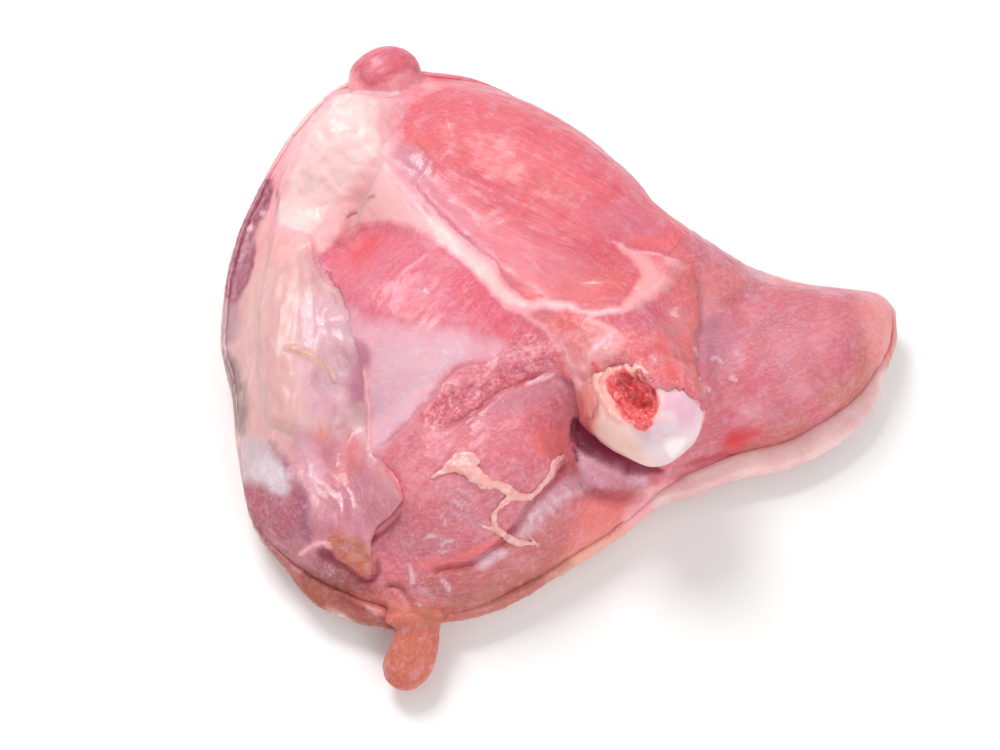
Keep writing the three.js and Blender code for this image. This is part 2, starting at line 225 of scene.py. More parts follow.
# Painted highlight on the front band's wet film.
FRONT_WET_GLINTS = [(476, 562), (488, 552), (502, 548), (508, 554), (496, 564), (480, 570)]
FRONT_ORANGE = [
    (584, 504), (610, 494), (640, 490), (656, 500), (640, 528), (600, 552), (566, 566), (570, 536),
]
FRONT_PALE = [(540, 582), (580, 562), (610, 544), (642, 524), (660, 506)]
PALE_END = [
    (636, 489), (656, 482), (684, 477), (716, 468), (742, 463), (740, 476), (702, 492), (668, 512),
    (642, 526), (622, 530), (624, 508),
]
LOW_LEFT = [
    (232, 478), (262, 486), (288, 494), (308, 508), (308, 552), (338, 566), (368, 582), (392, 606),
    (440, 612), (450, 700), (380, 700), (330, 640), (260, 580),
]
LOW_LEFT_PINK = [(246, 490), (284, 492), (304, 508), (310, 530), (304, 548), (280, 544), (258, 524)]
LOW_ORANGE = [(352, 596), (386, 596), (410, 608), (420, 622), (390, 624), (364, 612)]
LOOSE_SCRAP = [
    (384, 618), (410, 612), (452, 612), (448, 650), (430, 700), (380, 700), (372, 670), (386, 645),
]
KNEE_KNOB = [
    (342, 78), (340, 40), (385, 30), (420, 40), (422, 72), (400, 76), (384, 84), (371, 88), (360, 81),
]
WEDGE = [
    (668, 262), (700, 236), (775, 260), (830, 280), (905, 282), (915, 330), (890, 380), (868, 402),
    (845, 424), (800, 447), (735, 472), (690, 484), (676, 468), (699, 429), (703, 405), (690, 380),
    (692, 361), (699, 322), (697, 294),
]
WEDGE_TAN = [
    (880, 300), (898, 320), (894, 356), (876, 388), (842, 414), (802, 436), (762, 452), (738, 452),
    (768, 432), (800, 408), (830, 382), (856, 350), (868, 318),
]
WEDGE_CLOUDS = [(786, 346, 24), (752, 312, 12), (828, 330, 16), (742, 412, 12), (800, 392, 16)]
WEDGE_DEEP = [(762, 388, 19), (838, 362, 16), (734, 340, 12), (730, 416, 12), (816, 414, 13)]
WEDGE_FLAP = [(694, 270), (716, 268), (746, 278), (740, 290), (722, 296), (704, 290)]
WEDGE_BACK = [(690, 240), (740, 256), (800, 280), (860, 290), (892, 298)]
WEDGE_TIP = [(866, 290), (896, 288), (900, 330), (888, 372), (868, 350), (860, 316)]
WEDGE_PALE = [(696, 290), (712, 284), (726, 300), (720, 318), (702, 318)]
WEDGE_MAUVE = [(700, 316), (726, 318), (742, 340), (734, 366), (708, 364), (698, 342)]
WEDGE_STREAK = [(768, 277), (786, 280), (806, 285)]
HIP_MEAT = [
    (561, 300), (613, 302), (664, 288), (690, 264), (700, 300), (698, 345), (700, 395), (664, 386),
    (648, 380), (614, 361), (597, 376), (573, 385), (558, 362), (547, 335),
]
HIP_MAUVE = [(596, 314), (628, 306), (664, 294), (664, 324), (650, 338), (626, 328), (604, 326)]
HIP_SALMON = [
    (620, 334), (646, 330), (668, 348), (684, 376), (696, 394), (676, 390), (650, 378), (630, 366),
    (616, 350),
]
HIP_PEACH = [
    (546, 318), (580, 314), (612, 326), (620, 346), (610, 360), (598, 368), (594, 384), (580, 392),
    (570, 380), (560, 362),
]
HIP_CREAM = [(600, 334), (614, 330), (624, 344), (614, 358), (600, 362), (590, 376), (578, 372), (582, 352)]
HIP_STRANDS = [
    [(556, 330), (564, 350), (576, 370), (575, 388)],
    [(575, 318), (592, 322), (612, 330), (628, 344)],
    [(600, 346), (590, 356), (586, 372)],
]
HIP_RED = [(558, 318), (572, 315), (580, 320), (577, 329), (564, 327)]
HIP_CHANNEL = [(660, 328), (662, 345), (667, 362), (677, 382)]
HIP_RED_LINE = [(592, 360), (596, 372), (599, 384)]
HIP_LOBE = [(573, 388), (584, 384), (596, 388), (598, 402), (590, 418), (580, 420), (572, 404)]
POCKET = [
    (571, 420), (582, 427), (596, 438), (612, 449), (638, 464), (664, 470), (650, 475), (632, 475),
    (612, 467), (592, 457), (576, 446),
]
POCKET_DEEP = [(573, 426), (588, 434), (604, 446), (622, 458), (614, 462), (596, 455), (577, 443)]
POCKET_WET = [(578, 450), (596, 460), (620, 472), (644, 478), (648, 492), (616, 492), (586, 480)]
POCKET_NICK = [(571, 446), (576, 452), (579, 462)]
WEDGE_RED = [(684, 468), (706, 460), (730, 456), (744, 462), (720, 470), (694, 478)]

# Gristle, fat and tendon on the meat
FAT_SEAM = [
    (378, 138), (392, 158), (408, 178), (433, 210), (462, 237), (492, 262), (504, 279), (523, 298),
    (548, 301), (575, 303), (572, 311), (540, 311), (512, 311), (497, 300), (479, 281), (460, 262),
    (440, 247), (414, 231), (388, 224), (352, 230), (322, 250), (312, 236), (330, 205), (352, 175),
    (368, 150),
]
SEAM_PEACH = [
    (352, 190), (376, 168), (396, 180), (410, 206), (404, 222), (372, 224), (340, 232), (330, 222),
]
SEAM_WHITE = [(408, 190), (424, 208), (450, 236), (480, 260), (500, 284)]
SEAM_PINK = [(383, 160), (396, 176), (408, 190), (431, 217)]
SEAM_RIGHT = [(530, 306), (561, 306), (595, 313), (625, 308), (650, 296), (664, 282)]
SEAM_BRANCH = [(500, 300), (520, 312), (540, 324), (556, 340), (568, 360), (579, 382), (583, 400)]
RIGHT_TENDON = [
    (620, 246), (640, 254), (663, 258), (686, 267), (678, 282), (664, 293), (648, 305), (622, 306),
    (634, 288), (638, 270),
]
TENDON_WARM = [(650, 252), (664, 270), (676, 276), (690, 286)]
TENDON_WHITE = [(628, 302), (640, 296), (652, 290), (661, 286)]
# Painted highlight along the top of the right tendon.
TENDON_TOP_HIGHLIGHT = [(609, 238), (628, 250), (655, 255), (686, 264)]
RED_RIM = [(626, 243), (650, 240), (676, 250), (692, 262)]
SALMON_BLUR = [(560, 278), (596, 268), (630, 278), (624, 294), (600, 303), (562, 299)]
MEMBRANE = [(668, 268), (688, 264), (699, 300), (697, 340), (690, 376), (676, 350), (664, 312)]
MEMBRANE_EDGE = [(687, 264), (696, 284), (698, 318), (690, 338), (692, 361), (698, 392)]
MEMBRANE_FOLD = [(680, 272), (690, 294), (693, 314), (684, 338)]
MEMBRANE_POOL = [(665, 306), (684, 304), (690, 316), (682, 334), (668, 334)]
SKIN_EDGE_LINE = [
    (668, 497), (705, 484), (748, 470), (792, 450), (838, 428), (868, 404), (884, 374), (893, 345),
]
BROWN_WEDGE = [(893, 350), (884, 378), (862, 404), (838, 424), (792, 446), (748, 466), (705, 480)]
TONGUE_EDGE = [
    (365, 548), (375, 537), (387, 526), (397, 514), (402, 503), (401, 492), (394, 481), (383, 472),
    (371, 464),
]
BROWN_FRONT = [
    (300, 590), (330, 586), (370, 603), (412, 606), (450, 598), (490, 584), (530, 565), (562, 548),
    (568, 566), (540, 590), (500, 612), (450, 624), (400, 622), (340, 618),
]
BROWN_LEFT = [(262, 545), (282, 560), (304, 582), (336, 594), (330, 612), (290, 590), (262, 562)]
BLOOD_MIDDLE = [(350, 268), (351, 252), (362, 241), (378, 236), (376, 248), (364, 262), (358, 274)]
BLOOD_WEDGE = [(722, 448), (728, 434), (744, 430), (762, 430), (750, 440), (738, 450)]

# Creases, folds and ridges between muscles
OUTER_RIDGE = [(433, 173), (462, 184), (478, 203), (498, 230), (524, 250), (549, 266)]
OUTER_CREASE = [(388, 156), (408, 178), (433, 210), (462, 237), (492, 262), (504, 279), (523, 298)]
ROUGH_LINE = [(436, 431), (463, 417), (483, 404), (503, 390), (523, 382), (550, 370)]
LOWER_END = [(560, 374), (572, 392), (575, 420), (571, 444)]
FRONT_CREASE = [(428, 572), (453, 568), (468, 565), (483, 557), (498, 547), (506, 538), (516, 526)]
FRONT_STEP = [(506, 538), (520, 522), (530, 506), (544, 492), (558, 478), (568, 462)]
LOW_FOLD = [(384, 586), (401, 590), (410, 599), (418, 607)]
RIM_CREASE = [
    (224, 340), (232, 395), (243, 450), (250, 505), (262, 538), (284, 568), (310, 590), (345, 606),
    (385, 620), (440, 612), (480, 606), (520, 593), (560, 574), (600, 551), (640, 522), (665, 501),
    (700, 489), (750, 476), (800, 456), (850, 421), (880, 386), (892, 345),
]
RIM_LEFT = [
    (240, 440), (247, 480), (252, 508), (263, 540), (284, 571), (312, 594), (345, 610), (385, 622),
    (440, 614), (480, 607), (520, 594), (560, 575), (600, 552), (640, 524),
]
KNOB_NECK = [(352, 82), (342, 88), (332, 96), (322, 106)]
KNOB_SIDE = [(420, 76), (418, 66), (413, 56), (404, 49), (394, 45)]
LOW_CRACK = [(333, 596), (348, 604), (362, 611), (380, 621), (398, 632)]
FASCIA_FOLD = [(313, 262), (326, 276), (336, 292), (343, 305), (349, 322)]
WEDGE_CREASE = [(700, 268), (703, 300), (701, 338), (700, 372), (706, 400)]
HIP_GAP = [(556, 340), (564, 358), (572, 376), (573, 392)]
TONGUE_SHADOW = [(401, 510), (394, 521), (385, 530), (375, 538), (367, 546)]
TONGUE_LOW_SHADOW = [(318, 552), (330, 559), (344, 569), (358, 579), (370, 582), (377, 572), (377, 558)]

# Painted highlights: glints of wet film, laid in the colour
OUTER_GLINTS = [
    [(524, 256), (533, 264), (544, 276), (556, 292)],
    [(448, 118), (451, 128), (454, 138)],
    [(455, 143), (446, 154), (439, 163)],
    [(434, 158), (428, 168), (420, 178)],
    [(546, 258), (556, 257), (566, 259)],
]
LOWER_GLINTS = [
    [(524, 385), (540, 379), (558, 372)],
    [(438, 546), (446, 541), (454, 541)],
    [(482, 559), (490, 555), (498, 552)],
    [(530, 522), (536, 514), (542, 506)],
    [(552, 502), (562, 497), (572, 493)],
    [(576, 492), (584, 489), (588, 484)],
    [(501, 506), (506, 501), (512, 498)],
    [(409, 562), (411, 574), (412, 586)],
    [(440, 580), (446, 586), (452, 592)],
    [(648, 356), (652, 361), (656, 366)],
    [(690, 350), (697, 352), (700, 356)],
    [(714, 356), (719, 360), (723, 364)],
    [(730, 376), (734, 379), (738, 382)],
    [(424, 288), (426, 291), (428, 294)],
]

# Marks on the thigh bone's hip end
CRATER = [
    (597, 380), (604, 366), (620, 360), (637, 366), (652, 381), (661, 400), (657, 417), (643, 433),
    (628, 424), (612, 414), (602, 398),
]
MARROW = [
    (608, 384), (620, 370), (637, 376), (650, 386), (657, 402), (654, 417), (643, 430), (630, 420),
    (617, 404),
]
MARROW_HEART = [(615, 382), (627, 377), (640, 389), (649, 404), (641, 409), (627, 400)]
KNUCKLE_TISSUE = [
    (560, 380), (584, 360), (610, 350), (650, 350), (690, 360), (712, 390), (706, 412), (694, 398),
    (681, 388), (664, 388), (650, 378), (637, 362), (620, 356), (604, 362), (598, 380), (600, 400),
    (594, 416), (580, 424), (566, 404),
]
KNUCKLE_TAN = [(570, 388), (592, 384), (598, 400), (600, 414), (594, 426), (582, 422), (572, 408)]
KNUCKLE_CREAM = [(584, 424), (600, 420), (618, 424), (636, 444), (654, 462), (634, 462), (603, 442)]
KNUCKLE_WHITE = [
    (661, 392), (690, 392), (706, 408), (700, 432), (683, 458), (650, 468), (630, 456), (640, 436),
    (660, 420),
]
KNUCKLE_LILAC = [(662, 396), (684, 394), (696, 410), (690, 426), (668, 418)]
KNUCKLE_GREY = [(640, 430), (658, 422), (666, 430), (654, 440), (642, 438)]
KNUCKLE_HIGHLIGHT = [(664, 444), (674, 438), (684, 438), (682, 450), (670, 456)]
CRATER_RIM = [
    (628, 424), (612, 414), (602, 398), (597, 380), (604, 366), (620, 359), (637, 365), (652, 380),
    (661, 392),
]
CRATER_RAGS = [
    [(606, 366), (613, 374), (616, 386)],
    [(622, 361), (629, 370), (636, 380)],
    [(634, 364), (640, 376), (650, 386)],
    [(600, 384), (608, 396), (616, 408)],
    [(640, 368), (646, 374), (656, 384)],
]
CRATER_MIDDLE = (632, 398)
KNUCKLE_OUTLINE = [
    (574, 410), (582, 420), (593, 431), (606, 442), (620, 451), (632, 459), (645, 465), (657, 466),
    (670, 463), (682, 456), (692, 445), (699, 431), (702, 416), (700, 402), (694, 390),
]

# Marks on the sheet of gristle and fat, and on the meat beside it
SHEET_TOP = [
    (286, 96), (345, 74), (360, 85), (371, 91), (388, 86), (402, 80), (414, 82), (408, 92), (392, 104),
    (388, 122), (398, 140), (380, 170), (352, 196), (334, 218), (312, 236), (290, 234), (270, 222),
    (266, 200), (272, 150),
]
SHEET_PINK_EDGE = [
    (340, 70), (356, 84), (338, 100), (316, 122), (302, 146), (292, 172), (284, 200), (264, 206),
    (266, 170), (290, 110),
]
SHEET_LEFT = [(262, 196), (284, 204), (296, 262), (290, 300), (240, 310), (248, 262), (254, 226)]
SHEET_MIDDLE = [
    (212, 306), (262, 262), (310, 262), (340, 310), (360, 350), (368, 400), (366, 450), (340, 470),
    (290, 462), (236, 452), (212, 380),
]
SHEET_LOW = [
    (290, 440), (340, 440), (366, 450), (385, 475), (402, 500), (398, 518), (370, 545), (372, 560),
    (340, 560), (300, 560), (308, 500),
]
SHEET_SALMON = [
    (262, 270), (296, 266), (304, 300), (294, 340), (298, 400), (292, 436), (262, 442), (240, 420),
    (230, 360), (234, 316),
]
SHEET_FILM = [(304, 300), (330, 300), (350, 340), (350, 400), (330, 420), (306, 400), (300, 350)]
SHEET_GREY_RIM = [(222, 352), (234, 360), (246, 390), (248, 426), (240, 436), (222, 400)]
SHEET_LILAC_RIM = [(216, 304), (236, 304), (238, 324), (234, 342), (218, 340)]
TONGUE_PALE = [
    (296, 438), (312, 440), (323, 456), (326, 478), (318, 500), (313, 528), (307, 522), (308, 500),
    (303, 474),
]
SHEET_GREY = [
    (244, 440), (262, 440), (274, 449), (283, 461), (289, 475), (291, 484), (285, 494), (275, 492),
    (265, 485), (255, 484), (240, 480), (236, 460),
]
SHEET_WET_SHEEN = [(256, 462), (272, 458), (286, 472), (290, 484), (284, 493), (274, 490), (264, 481), (254, 476)]
SHEET_PURPLE = [
    (268, 441), (280, 449), (291, 464), (302, 478), (310, 498), (314, 524), (311, 541), (303, 537),
    (298, 514), (291, 490), (284, 470), (275, 454),
]
DARK_STRIP = [
    (272, 180), (267, 205), (260, 218), (256, 226), (255, 240), (253, 262), (250, 276), (243, 294),
    (236, 304), (218, 308), (206, 290), (226, 240), (250, 188),
]
DARK_STRIP_EDGE = [(270, 188), (265, 207), (259, 221), (255, 238), (252, 260), (249, 274), (242, 292)]
DARK_STRIP_KNOBS = [(262, 213, 3.5), (251, 229, 4)]
MAUVE_GAP = [(353, 340), (368, 346), (370, 362), (364, 380), (362, 400), (350, 400), (348, 382), (352, 358)]
PALE_CORD = [(364, 362), (367, 382), (370, 404), (371, 430), (369, 450), (371, 464)]
SHEET_ORANGE = [(350, 198), (358, 186), (374, 168), (380, 174), (366, 194), (352, 206)]
SHEET_RED_SPOT = [(322, 434, 7)]
SHEET_RED_LOW = [
    (351, 430), (359, 446), (359, 462), (350, 477), (337, 488), (333, 474), (338, 458), (345, 444),
]
SHEET_SEAM = [(300, 141), (320, 155), (333, 180), (352, 194)]
SINEW = [(284, 347), (294, 349), (306, 354), (320, 364), (331, 373), (340, 384)]
TONGUE_RIM = [(369, 464), (380, 470), (390, 477), (402, 495), (400, 512), (385, 526), (367, 541)]
TONGUE_TIP = [
    (326, 534), (344, 532), (362, 542), (374, 558), (370, 576), (358, 574), (338, 560), (324, 546),
]
TONGUE_HOLE = [(316, 550), (325, 547), (334, 553), (332, 561), (322, 561)]
TONGUE_CURL = [(297, 556), (304, 553), (313, 545), (323, 542), (333, 551)]
SHEET_WRINKLES = [
    [(299, 300), (294, 330), (290, 348)],
    [(304, 362), (298, 385), (293, 415), (290, 438)],
    [(318, 300), (322, 330), (318, 360)],
    [(334, 320), (338, 350), (346, 380)],
    [(330, 400), (336, 430), (348, 456)],
    [(312, 390), (316, 424), (328, 452)],
    [(268, 300), (264, 340), (262, 380)],
    [(352, 470), (364, 492), (366, 516)],
    [(336, 470), (344, 500), (342, 530)],
    [(300, 262), (296, 280), (300, 300)],
    [(282, 300), (280, 330), (276, 362)],
]
# Lumps of fat with painted highlights on them.
FAT_KNOB_GLINTS = [
    (306, 170, 5), (311, 176, 4), (301, 190, 4), (322, 176, 4), (327, 200, 5), (346, 205, 4), (318, 214, 4),
    (323, 219, 3.5), (312, 229, 5), (340, 104, 5), (352, 100, 4), (366, 103, 5), (374, 106, 4),
    (334, 108, 3.5), (336, 190, 4), (318, 200, 4), (360, 160, 5), (343, 150, 5), (330, 135, 4),
    (352, 130, 5), (310, 245, 4),
]
SHEET_GLINTS = [
    [(381, 140), (379, 152), (372, 166)],
    [(336, 416), (338, 428)],
    [(344, 214), (350, 210), (356, 205)],
]
SKIN_DRIED = [
    (320, 60), (180, 60), (180, 420), (230, 600), (360, 720), (500, 660), (600, 610), (662, 556),
    (646, 495), (600, 520), (500, 570), (440, 585), (404, 585), (330, 545), (262, 430), (256, 300),
    (290, 130),
]
SKIN_BACK = [
    (405, 30), (440, 30), (700, 180), (930, 260), (930, 372), (884, 366), (880, 296), (700, 256),
    (640, 190), (560, 118), (430, 84), (405, 60),
]
LOW_PALE = [(322, 605), (344, 618), (368, 632), (390, 648)]
TONGUE_FREE = [
    (369, 462), (385, 475), (400, 486), (404, 498), (398, 513), (382, 528), (366, 542), (370, 562),
]
BROWN_NICKS = [[(346, 218), (351, 215), (356, 212)], [(362, 205), (369, 200), (377, 196)]]

# The loose strands of fat: the middle line and the half width in pixels at each point.
LEAF = [
    (432, 477, 1.5), (444, 471, 5), (456, 465, 8.5), (468, 468, 10), (478, 478, 8.5), (488, 484, 6.5),
    (499, 485, 5.5), (510, 492, 6), (520, 497, 5.5), (531, 496, 4.5), (542, 485, 4), (550, 474, 4.5),
    (554, 463, 5), (563, 456, 3),
]
BRANCH = [
    (511, 497, 5), (502, 504, 4), (494, 514, 3.6), (495, 526, 3.6), (504, 535, 4.5), (516, 542, 5),
    (526, 543, 3.5), (534, 544, 1.5),
]
TWIG = [(474, 521, 1.2), (484, 526, 2.2), (494, 530, 2.6), (502, 534, 2.5)]
ROOT_TWIG = [(446, 466, 2), (458, 457, 4), (470, 455, 4), (478, 462, 4)]
RIM_TWIG = [(526, 534, 1), (534, 541, 1.4), (538, 546, 1)]

# Tissue that laps over the bone's hip end, and the fold beside it.
HIP_LAP = [
    (584, 372), (600, 352), (640, 344), (690, 350), (712, 388), (704, 406), (694, 396), (681, 386),
    (664, 387), (651, 380), (637, 364), (620, 356), (604, 361), (596, 374),
]


def rgb(red, green, blue):
    """A colour of 0 to 255 a channel, as shown on a screen, in linear light."""
    return tuple((c / 12.92 if c <= 0.04045 else ((c + 0.055) / 1.055) ** 2.4) for c in
                 (red / 255, green / 255, blue / 255))


def tone(name, red, green, blue):
    """A colour property with its default."""
    return bpy.props.FloatVectorProperty(
        name=name, description=f"Colour of {name.lower()}", subtype="COLOR", size=3, min=0, max=1,
        default=rgb(red, green, blue))


def span(name, description, millimetres):
    """A length property with its default."""
    return bpy.props.FloatProperty(
        name=name, description=description, default=millimetres * MM, min=0, unit="LENGTH")


def share(name, description, default):
    """A property from 0 to 1 with its default."""
    return bpy.props.FloatProperty(
        name=name, description=description, default=default, min=0, max=1, subtype="FACTOR")


# Sizes and colours that a user would change


class MuscleTones(bpy.types.PropertyGroup):
    """Colours of the muscles, by region."""

    inside: tone("Flesh out of sight", 214, 118, 130)
    outer: tone("Outer thigh", 220, 100, 114)
    facet: tone("Outer thigh's lower side", 232, 138, 151)
    middle: tone("Middle muscle", 220, 112, 132)
    deep: tone("Deep end of the middle muscle", 222, 100, 120)
    lower: tone("Lower muscle", 214, 118, 132)
    # The front band and the low left muscle face down and away from the light: their darker tones are
    # partly painted shade.
    front: tone("Front band", 198, 108, 110)
    low_left: tone("Low left muscle", 160, 86, 82)
    low_pink: tone("Mauve part of the low left muscle", 176, 104, 120)
    wedge: tone("Wedge of meat", 204, 111, 124)
    wedge_pale: tone("Pale parts of the wedge", 222, 132, 144)
    wedge_tan: tone("Lower rim of the wedge", 200, 113, 103)
    wedge_tip: tone("Tip of the wedge", 236, 146, 144)
    hip: tone("Meat round the hip end", 220, 112, 126)
    hip_mauve: tone("Mauve meat at the hip end", 212, 104, 124)
    rough: tone("Torn strip", 216, 112, 128)
    scrap: tone("Loose scrap", 200, 108, 84)
    knob: tone("Knob at the knee", 208, 100, 116)
    orange: tone("Right end of the front band", 226, 126, 122)
    orange_rim: tone("Rim of the front band's right end", 238, 180, 158)
    wet: tone("Wet film beside the hollow", 246, 198, 218)
    lobe: tone("Tissue beside the hip end", 234, 150, 140)


class TissueTones(bpy.types.PropertyGroup):
    """Colours of what lies on the muscles, and of the painted shade and painted highlights laid on them."""

    fat: tone("Fat", 250, 206, 204)
    fat_pale: tone("Pale fat", 250, 215, 210)
    fat_pink: tone("Pink fat", 246, 174, 182)
    silver: tone("Silver skin", 230, 184, 199)
    # Mauve film; also laid in creases and grooves as painted shade.
    mauve: tone("Mauve film", 200, 134, 158)
    lavender: tone("Lavender film", 218, 170, 192)
    salmon: tone("Salmon tint", 244, 122, 108)
    peach: tone("Tendon", 246, 178, 170)
    blood: tone("Blood", 214, 44, 54)
    # Darker fibre colour; also laid in creases and steps as painted shade.
    deep: tone("Deep fibre", 176, 50, 74)
    # Painted shade, laid in the flesh's creases, folds, cracks and holes.
    dark: tone("Deep crease", 150, 44, 62)
    # Painted shadow in the pocket under the bone's hip end and along the sheet's edge at the left.
    shade: tone("Hollow", 122, 30, 60)
    brown: tone("Dried rim", 174, 98, 66)
    streak: tone("Pale fibre", 248, 178, 186)
    # Painted highlights: the glint specks laid in the colour where the shine mask is high.
    painted_glint: tone("Wet glint", 246, 218, 232)


class MeatSettings(bpy.types.PropertyGroup):
    """Sizes of the meat's relief."""

    grain: span("Mesh grain", "Edge of the meat's mesh faces", 0.78)
    swell: span("Swell", "Height of the slow unevenness of the muscles", 0.45)
    fibre: span("Fibre relief", "Height of the fibre bundles", 0.16)
    torn: span("Torn relief", "Height of the lumps on the torn strip", 0.75)
    wet: share("Wetness", "Weight of the wet film", 0.42)


class BoneSettings(bpy.types.PropertyGroup):
    """Sizes and colours of the thigh bone."""

    grain: span("Mesh grain", "Edge of the bone's mesh faces", 0.5)
    swell: span("Swell", "Growth that lets the bone meet the flesh", 0.2)
    fill: span("Marrow", "Height of the marrow above the hollow's floor", 2.6)
    pits: span("Marrow pits", "Height of the spongy relief in the hollow", 0.9)
    lumps: span("Lumps", "Height of the slow unevenness of the cartilage", 0.25)
    torn: span("Torn relief", "Height of the lumps of tissue on the bone", 0.5)
    cartilage: tone("Cartilage", 244, 200, 202)
    white: tone("White cartilage", 230, 206, 214)
    # Painted highlight: the near white of the knuckle's wet gloss.
    painted_highlight: tone("Wet white cartilage", 246, 234, 236)
    cream: tone("Cream cartilage", 236, 196, 182)
    lilac: tone("Lilac cartilage", 238, 184, 204)
    # Grey cartilage, laid on the knuckle as partly painted shade.
    grey: tone("Grey cartilage", 208, 180, 192)
    tan: tone("Tan side", 226, 142, 128)
    tissue: tone("Tissue on the bone", 234, 128, 128)
    rim: tone("Rim of the hollow", 240, 180, 168)
    marrow: tone("Marrow", 240, 104, 106)
    marrow_deep: tone("Deep marrow", 186, 34, 44)


class SkinSettings(bpy.types.PropertyGroup):
    """Sizes and colours of the skin."""

    grain: span("Mesh grain", "Edge of the skin's mesh faces", 0.85)
    pores: span("Pore spacing", "Distance between the feather pores", 4.2)
    pore_rise: span("Pore height", "Height of the bump round a feather pore", 0.4)
    wrinkle: span("Wrinkles", "Height of the skin's wrinkles", 0.35)
    swell: span("Swell", "Growth that closes the gap to the meat", 0.35)
    snug: span("Snug rim", "Gap to the meat up to which the skin's rim is drawn against it", 3.5)
    base: tone("Skin", 236, 202, 200)
    pink: tone("Pink parts of the skin", 226, 172, 174)
    yellow: tone("Fatty parts of the skin", 244, 216, 200)


class SheetSettings(bpy.types.PropertyGroup):
    """Sizes and colours of the sheet of gristle and fat."""

    grain: span("Mesh grain", "Edge of the sheet's mesh faces", 0.5)
    lumps: span("Fat lumps", "Height of the lumps of fat", 0.45)
    wrinkle: span("Wrinkles", "Height of the sheet's wrinkles", 0.3)
    feather: span("Feathering", "Width over which the sheet's edge sinks into the flesh", 7)
    left: tone("Left side of the sheet", 230, 168, 164)
    middle: tone("Middle of the sheet", 222, 178, 178)
    film: tone("Thin film", 222, 172, 182)
    salmon: tone("Salmon part", 222, 172, 168)
    low: tone("Low end of the sheet", 203, 127, 142)
    tip: tone("Tip of the tongue", 194, 106, 78)
    red: tone("Red flesh that shows through", 214, 124, 126)
    grey: tone("Grey part", 206, 184, 190)
    # Grey rim, darker at the outline: partly painted shade.
    rim: tone("Grey rim", 160, 130, 128)
    lilac: tone("Lilac rim", 188, 150, 156)
    # Wet white film with painted sheen.
    wet: tone("Wet white film", 226, 212, 220)
    purple: tone("Purple shading", 158, 92, 112)
    # Dark strip at the left edge: partly painted shade where the side turns into shadow.
    strip: tone("Dark strip at the left edge", 160, 92, 112)
    sinew: tone("Sinew", 226, 186, 166)


class StrandSettings(bpy.types.PropertyGroup):
    """Sizes and colours of the loose strands of fat."""

    grain: span("Mesh grain", "Edge of the strands' mesh faces", 0.3)
    flat: share("Flatness", "Height of a strand as a share of its width", 0.42)
    lumps: span("Lumps", "Height of a strand's unevenness", 0.3)
    base: tone("Strand", 238, 170, 166)
    pale: tone("Pale edge", 246, 198, 190)


class StageSettings(bpy.types.PropertyGroup):
    """The floor and the lights."""

    floor_size: span("Floor size", "Side of the floor", 6000)
    floor: tone("Floor", 250, 250, 249)
    haze: tone("Floor's darker parts", 244, 244, 243)
    sky: bpy.props.FloatProperty(
        name="Sky", description="Strength of the even light", default=0.585, min=0)
    key: bpy.props.FloatProperty(
        name="Key light", description="Power of the main light", default=6.8, min=0, unit="POWER")
    fill: bpy.props.FloatProperty(
        name="Fill light", description="Power of the soft front light", default=4, min=0, unit="POWER")


class ThighSettings(bpy.types.PropertyGroup):
    """All of the thigh's settings."""

    muscle: bpy.props.PointerProperty(type=MuscleTones, name="Muscle", description="Muscle colours")
    tissue: bpy.props.PointerProperty(type=TissueTones, name="Tissue", description="Tissue colours")
    meat: bpy.props.PointerProperty(type=MeatSettings, name="Meat", description="Meat relief")
    bone: bpy.props.PointerProperty(type=BoneSettings, name="Bone", description="Thigh bone")
    skin: bpy.props.PointerProperty(type=SkinSettings, name="Skin", description="Skin")
    sheet: bpy.props.PointerProperty(type=SheetSettings, name="Sheet", description="Gristle and fat")
    strand: bpy.props.PointerProperty(type=StrandSettings, name="Strands", description="Strands of fat")
    stage: bpy.props.PointerProperty(type=StageSettings, name="Stage", description="Floor and lights")


# Curves and noise


def ramp(value, low, high):
    """0 up to low, 1 from high, and a smooth rise between them."""
    part = np.clip((value - low) / (high - low), 0, 1)
    return part * part * (3 - 2 * part)


def smooth_path(points, closed=False, steps=6):
    """A smooth curve through points, as more points."""
    points = np.asarray(points, float)
    count = len(points)
    if closed:
        padded = points[np.arange(-1, count + 2) % count]
    else:
        padded = np.vstack([2 * points[0] - points[1], points, 2 * points[-1] - points[-2]])
    t = np.linspace(0, 1, steps, endpoint=False)[:, None]
    pieces = []
    for i in range(len(padded) - 3):
        a, b, c, d = padded[i:i + 4]
        bend = (2 * a - 5 * b + 4 * c - d) * t + (3 * b - a - 3 * c + d) * t * t
        pieces.append(b + 0.5 * t * (c - a + bend))
    if not closed:
        pieces.append(points[-1:])
    return np.vstack(pieces)


def path_distance(spots, path):
    """For each spot its distance to a path, the share of the path's length there, and its side."""
    ends = np.cumsum(np.linalg.norm(np.diff(path, axis=0), axis=1))
    best = np.full(len(spots), np.inf)
    place = np.zeros(len(spots))
    side = np.ones(len(spots))
    start = 0.0
    for a, b, end in zip(path[:-1], path[1:], ends):
        along = b - a
        to_spot = spots - a
        t = np.clip(to_spot @ along / max(along @ along, 1e-12), 0, 1)
        apart = np.linalg.norm(to_spot - t[:, None] * along, axis=1)
        closer = apart < best
        best[closer] = apart[closer]
        place[closer] = (start + t * (end - start))[closer]
        turn = along[0] * to_spot[:, 1] - along[1] * to_spot[:, 0]
        side[closer] = np.where(turn >= 0, 1, -1)[closer]
        start = end
    return best, place / ends[-1], side


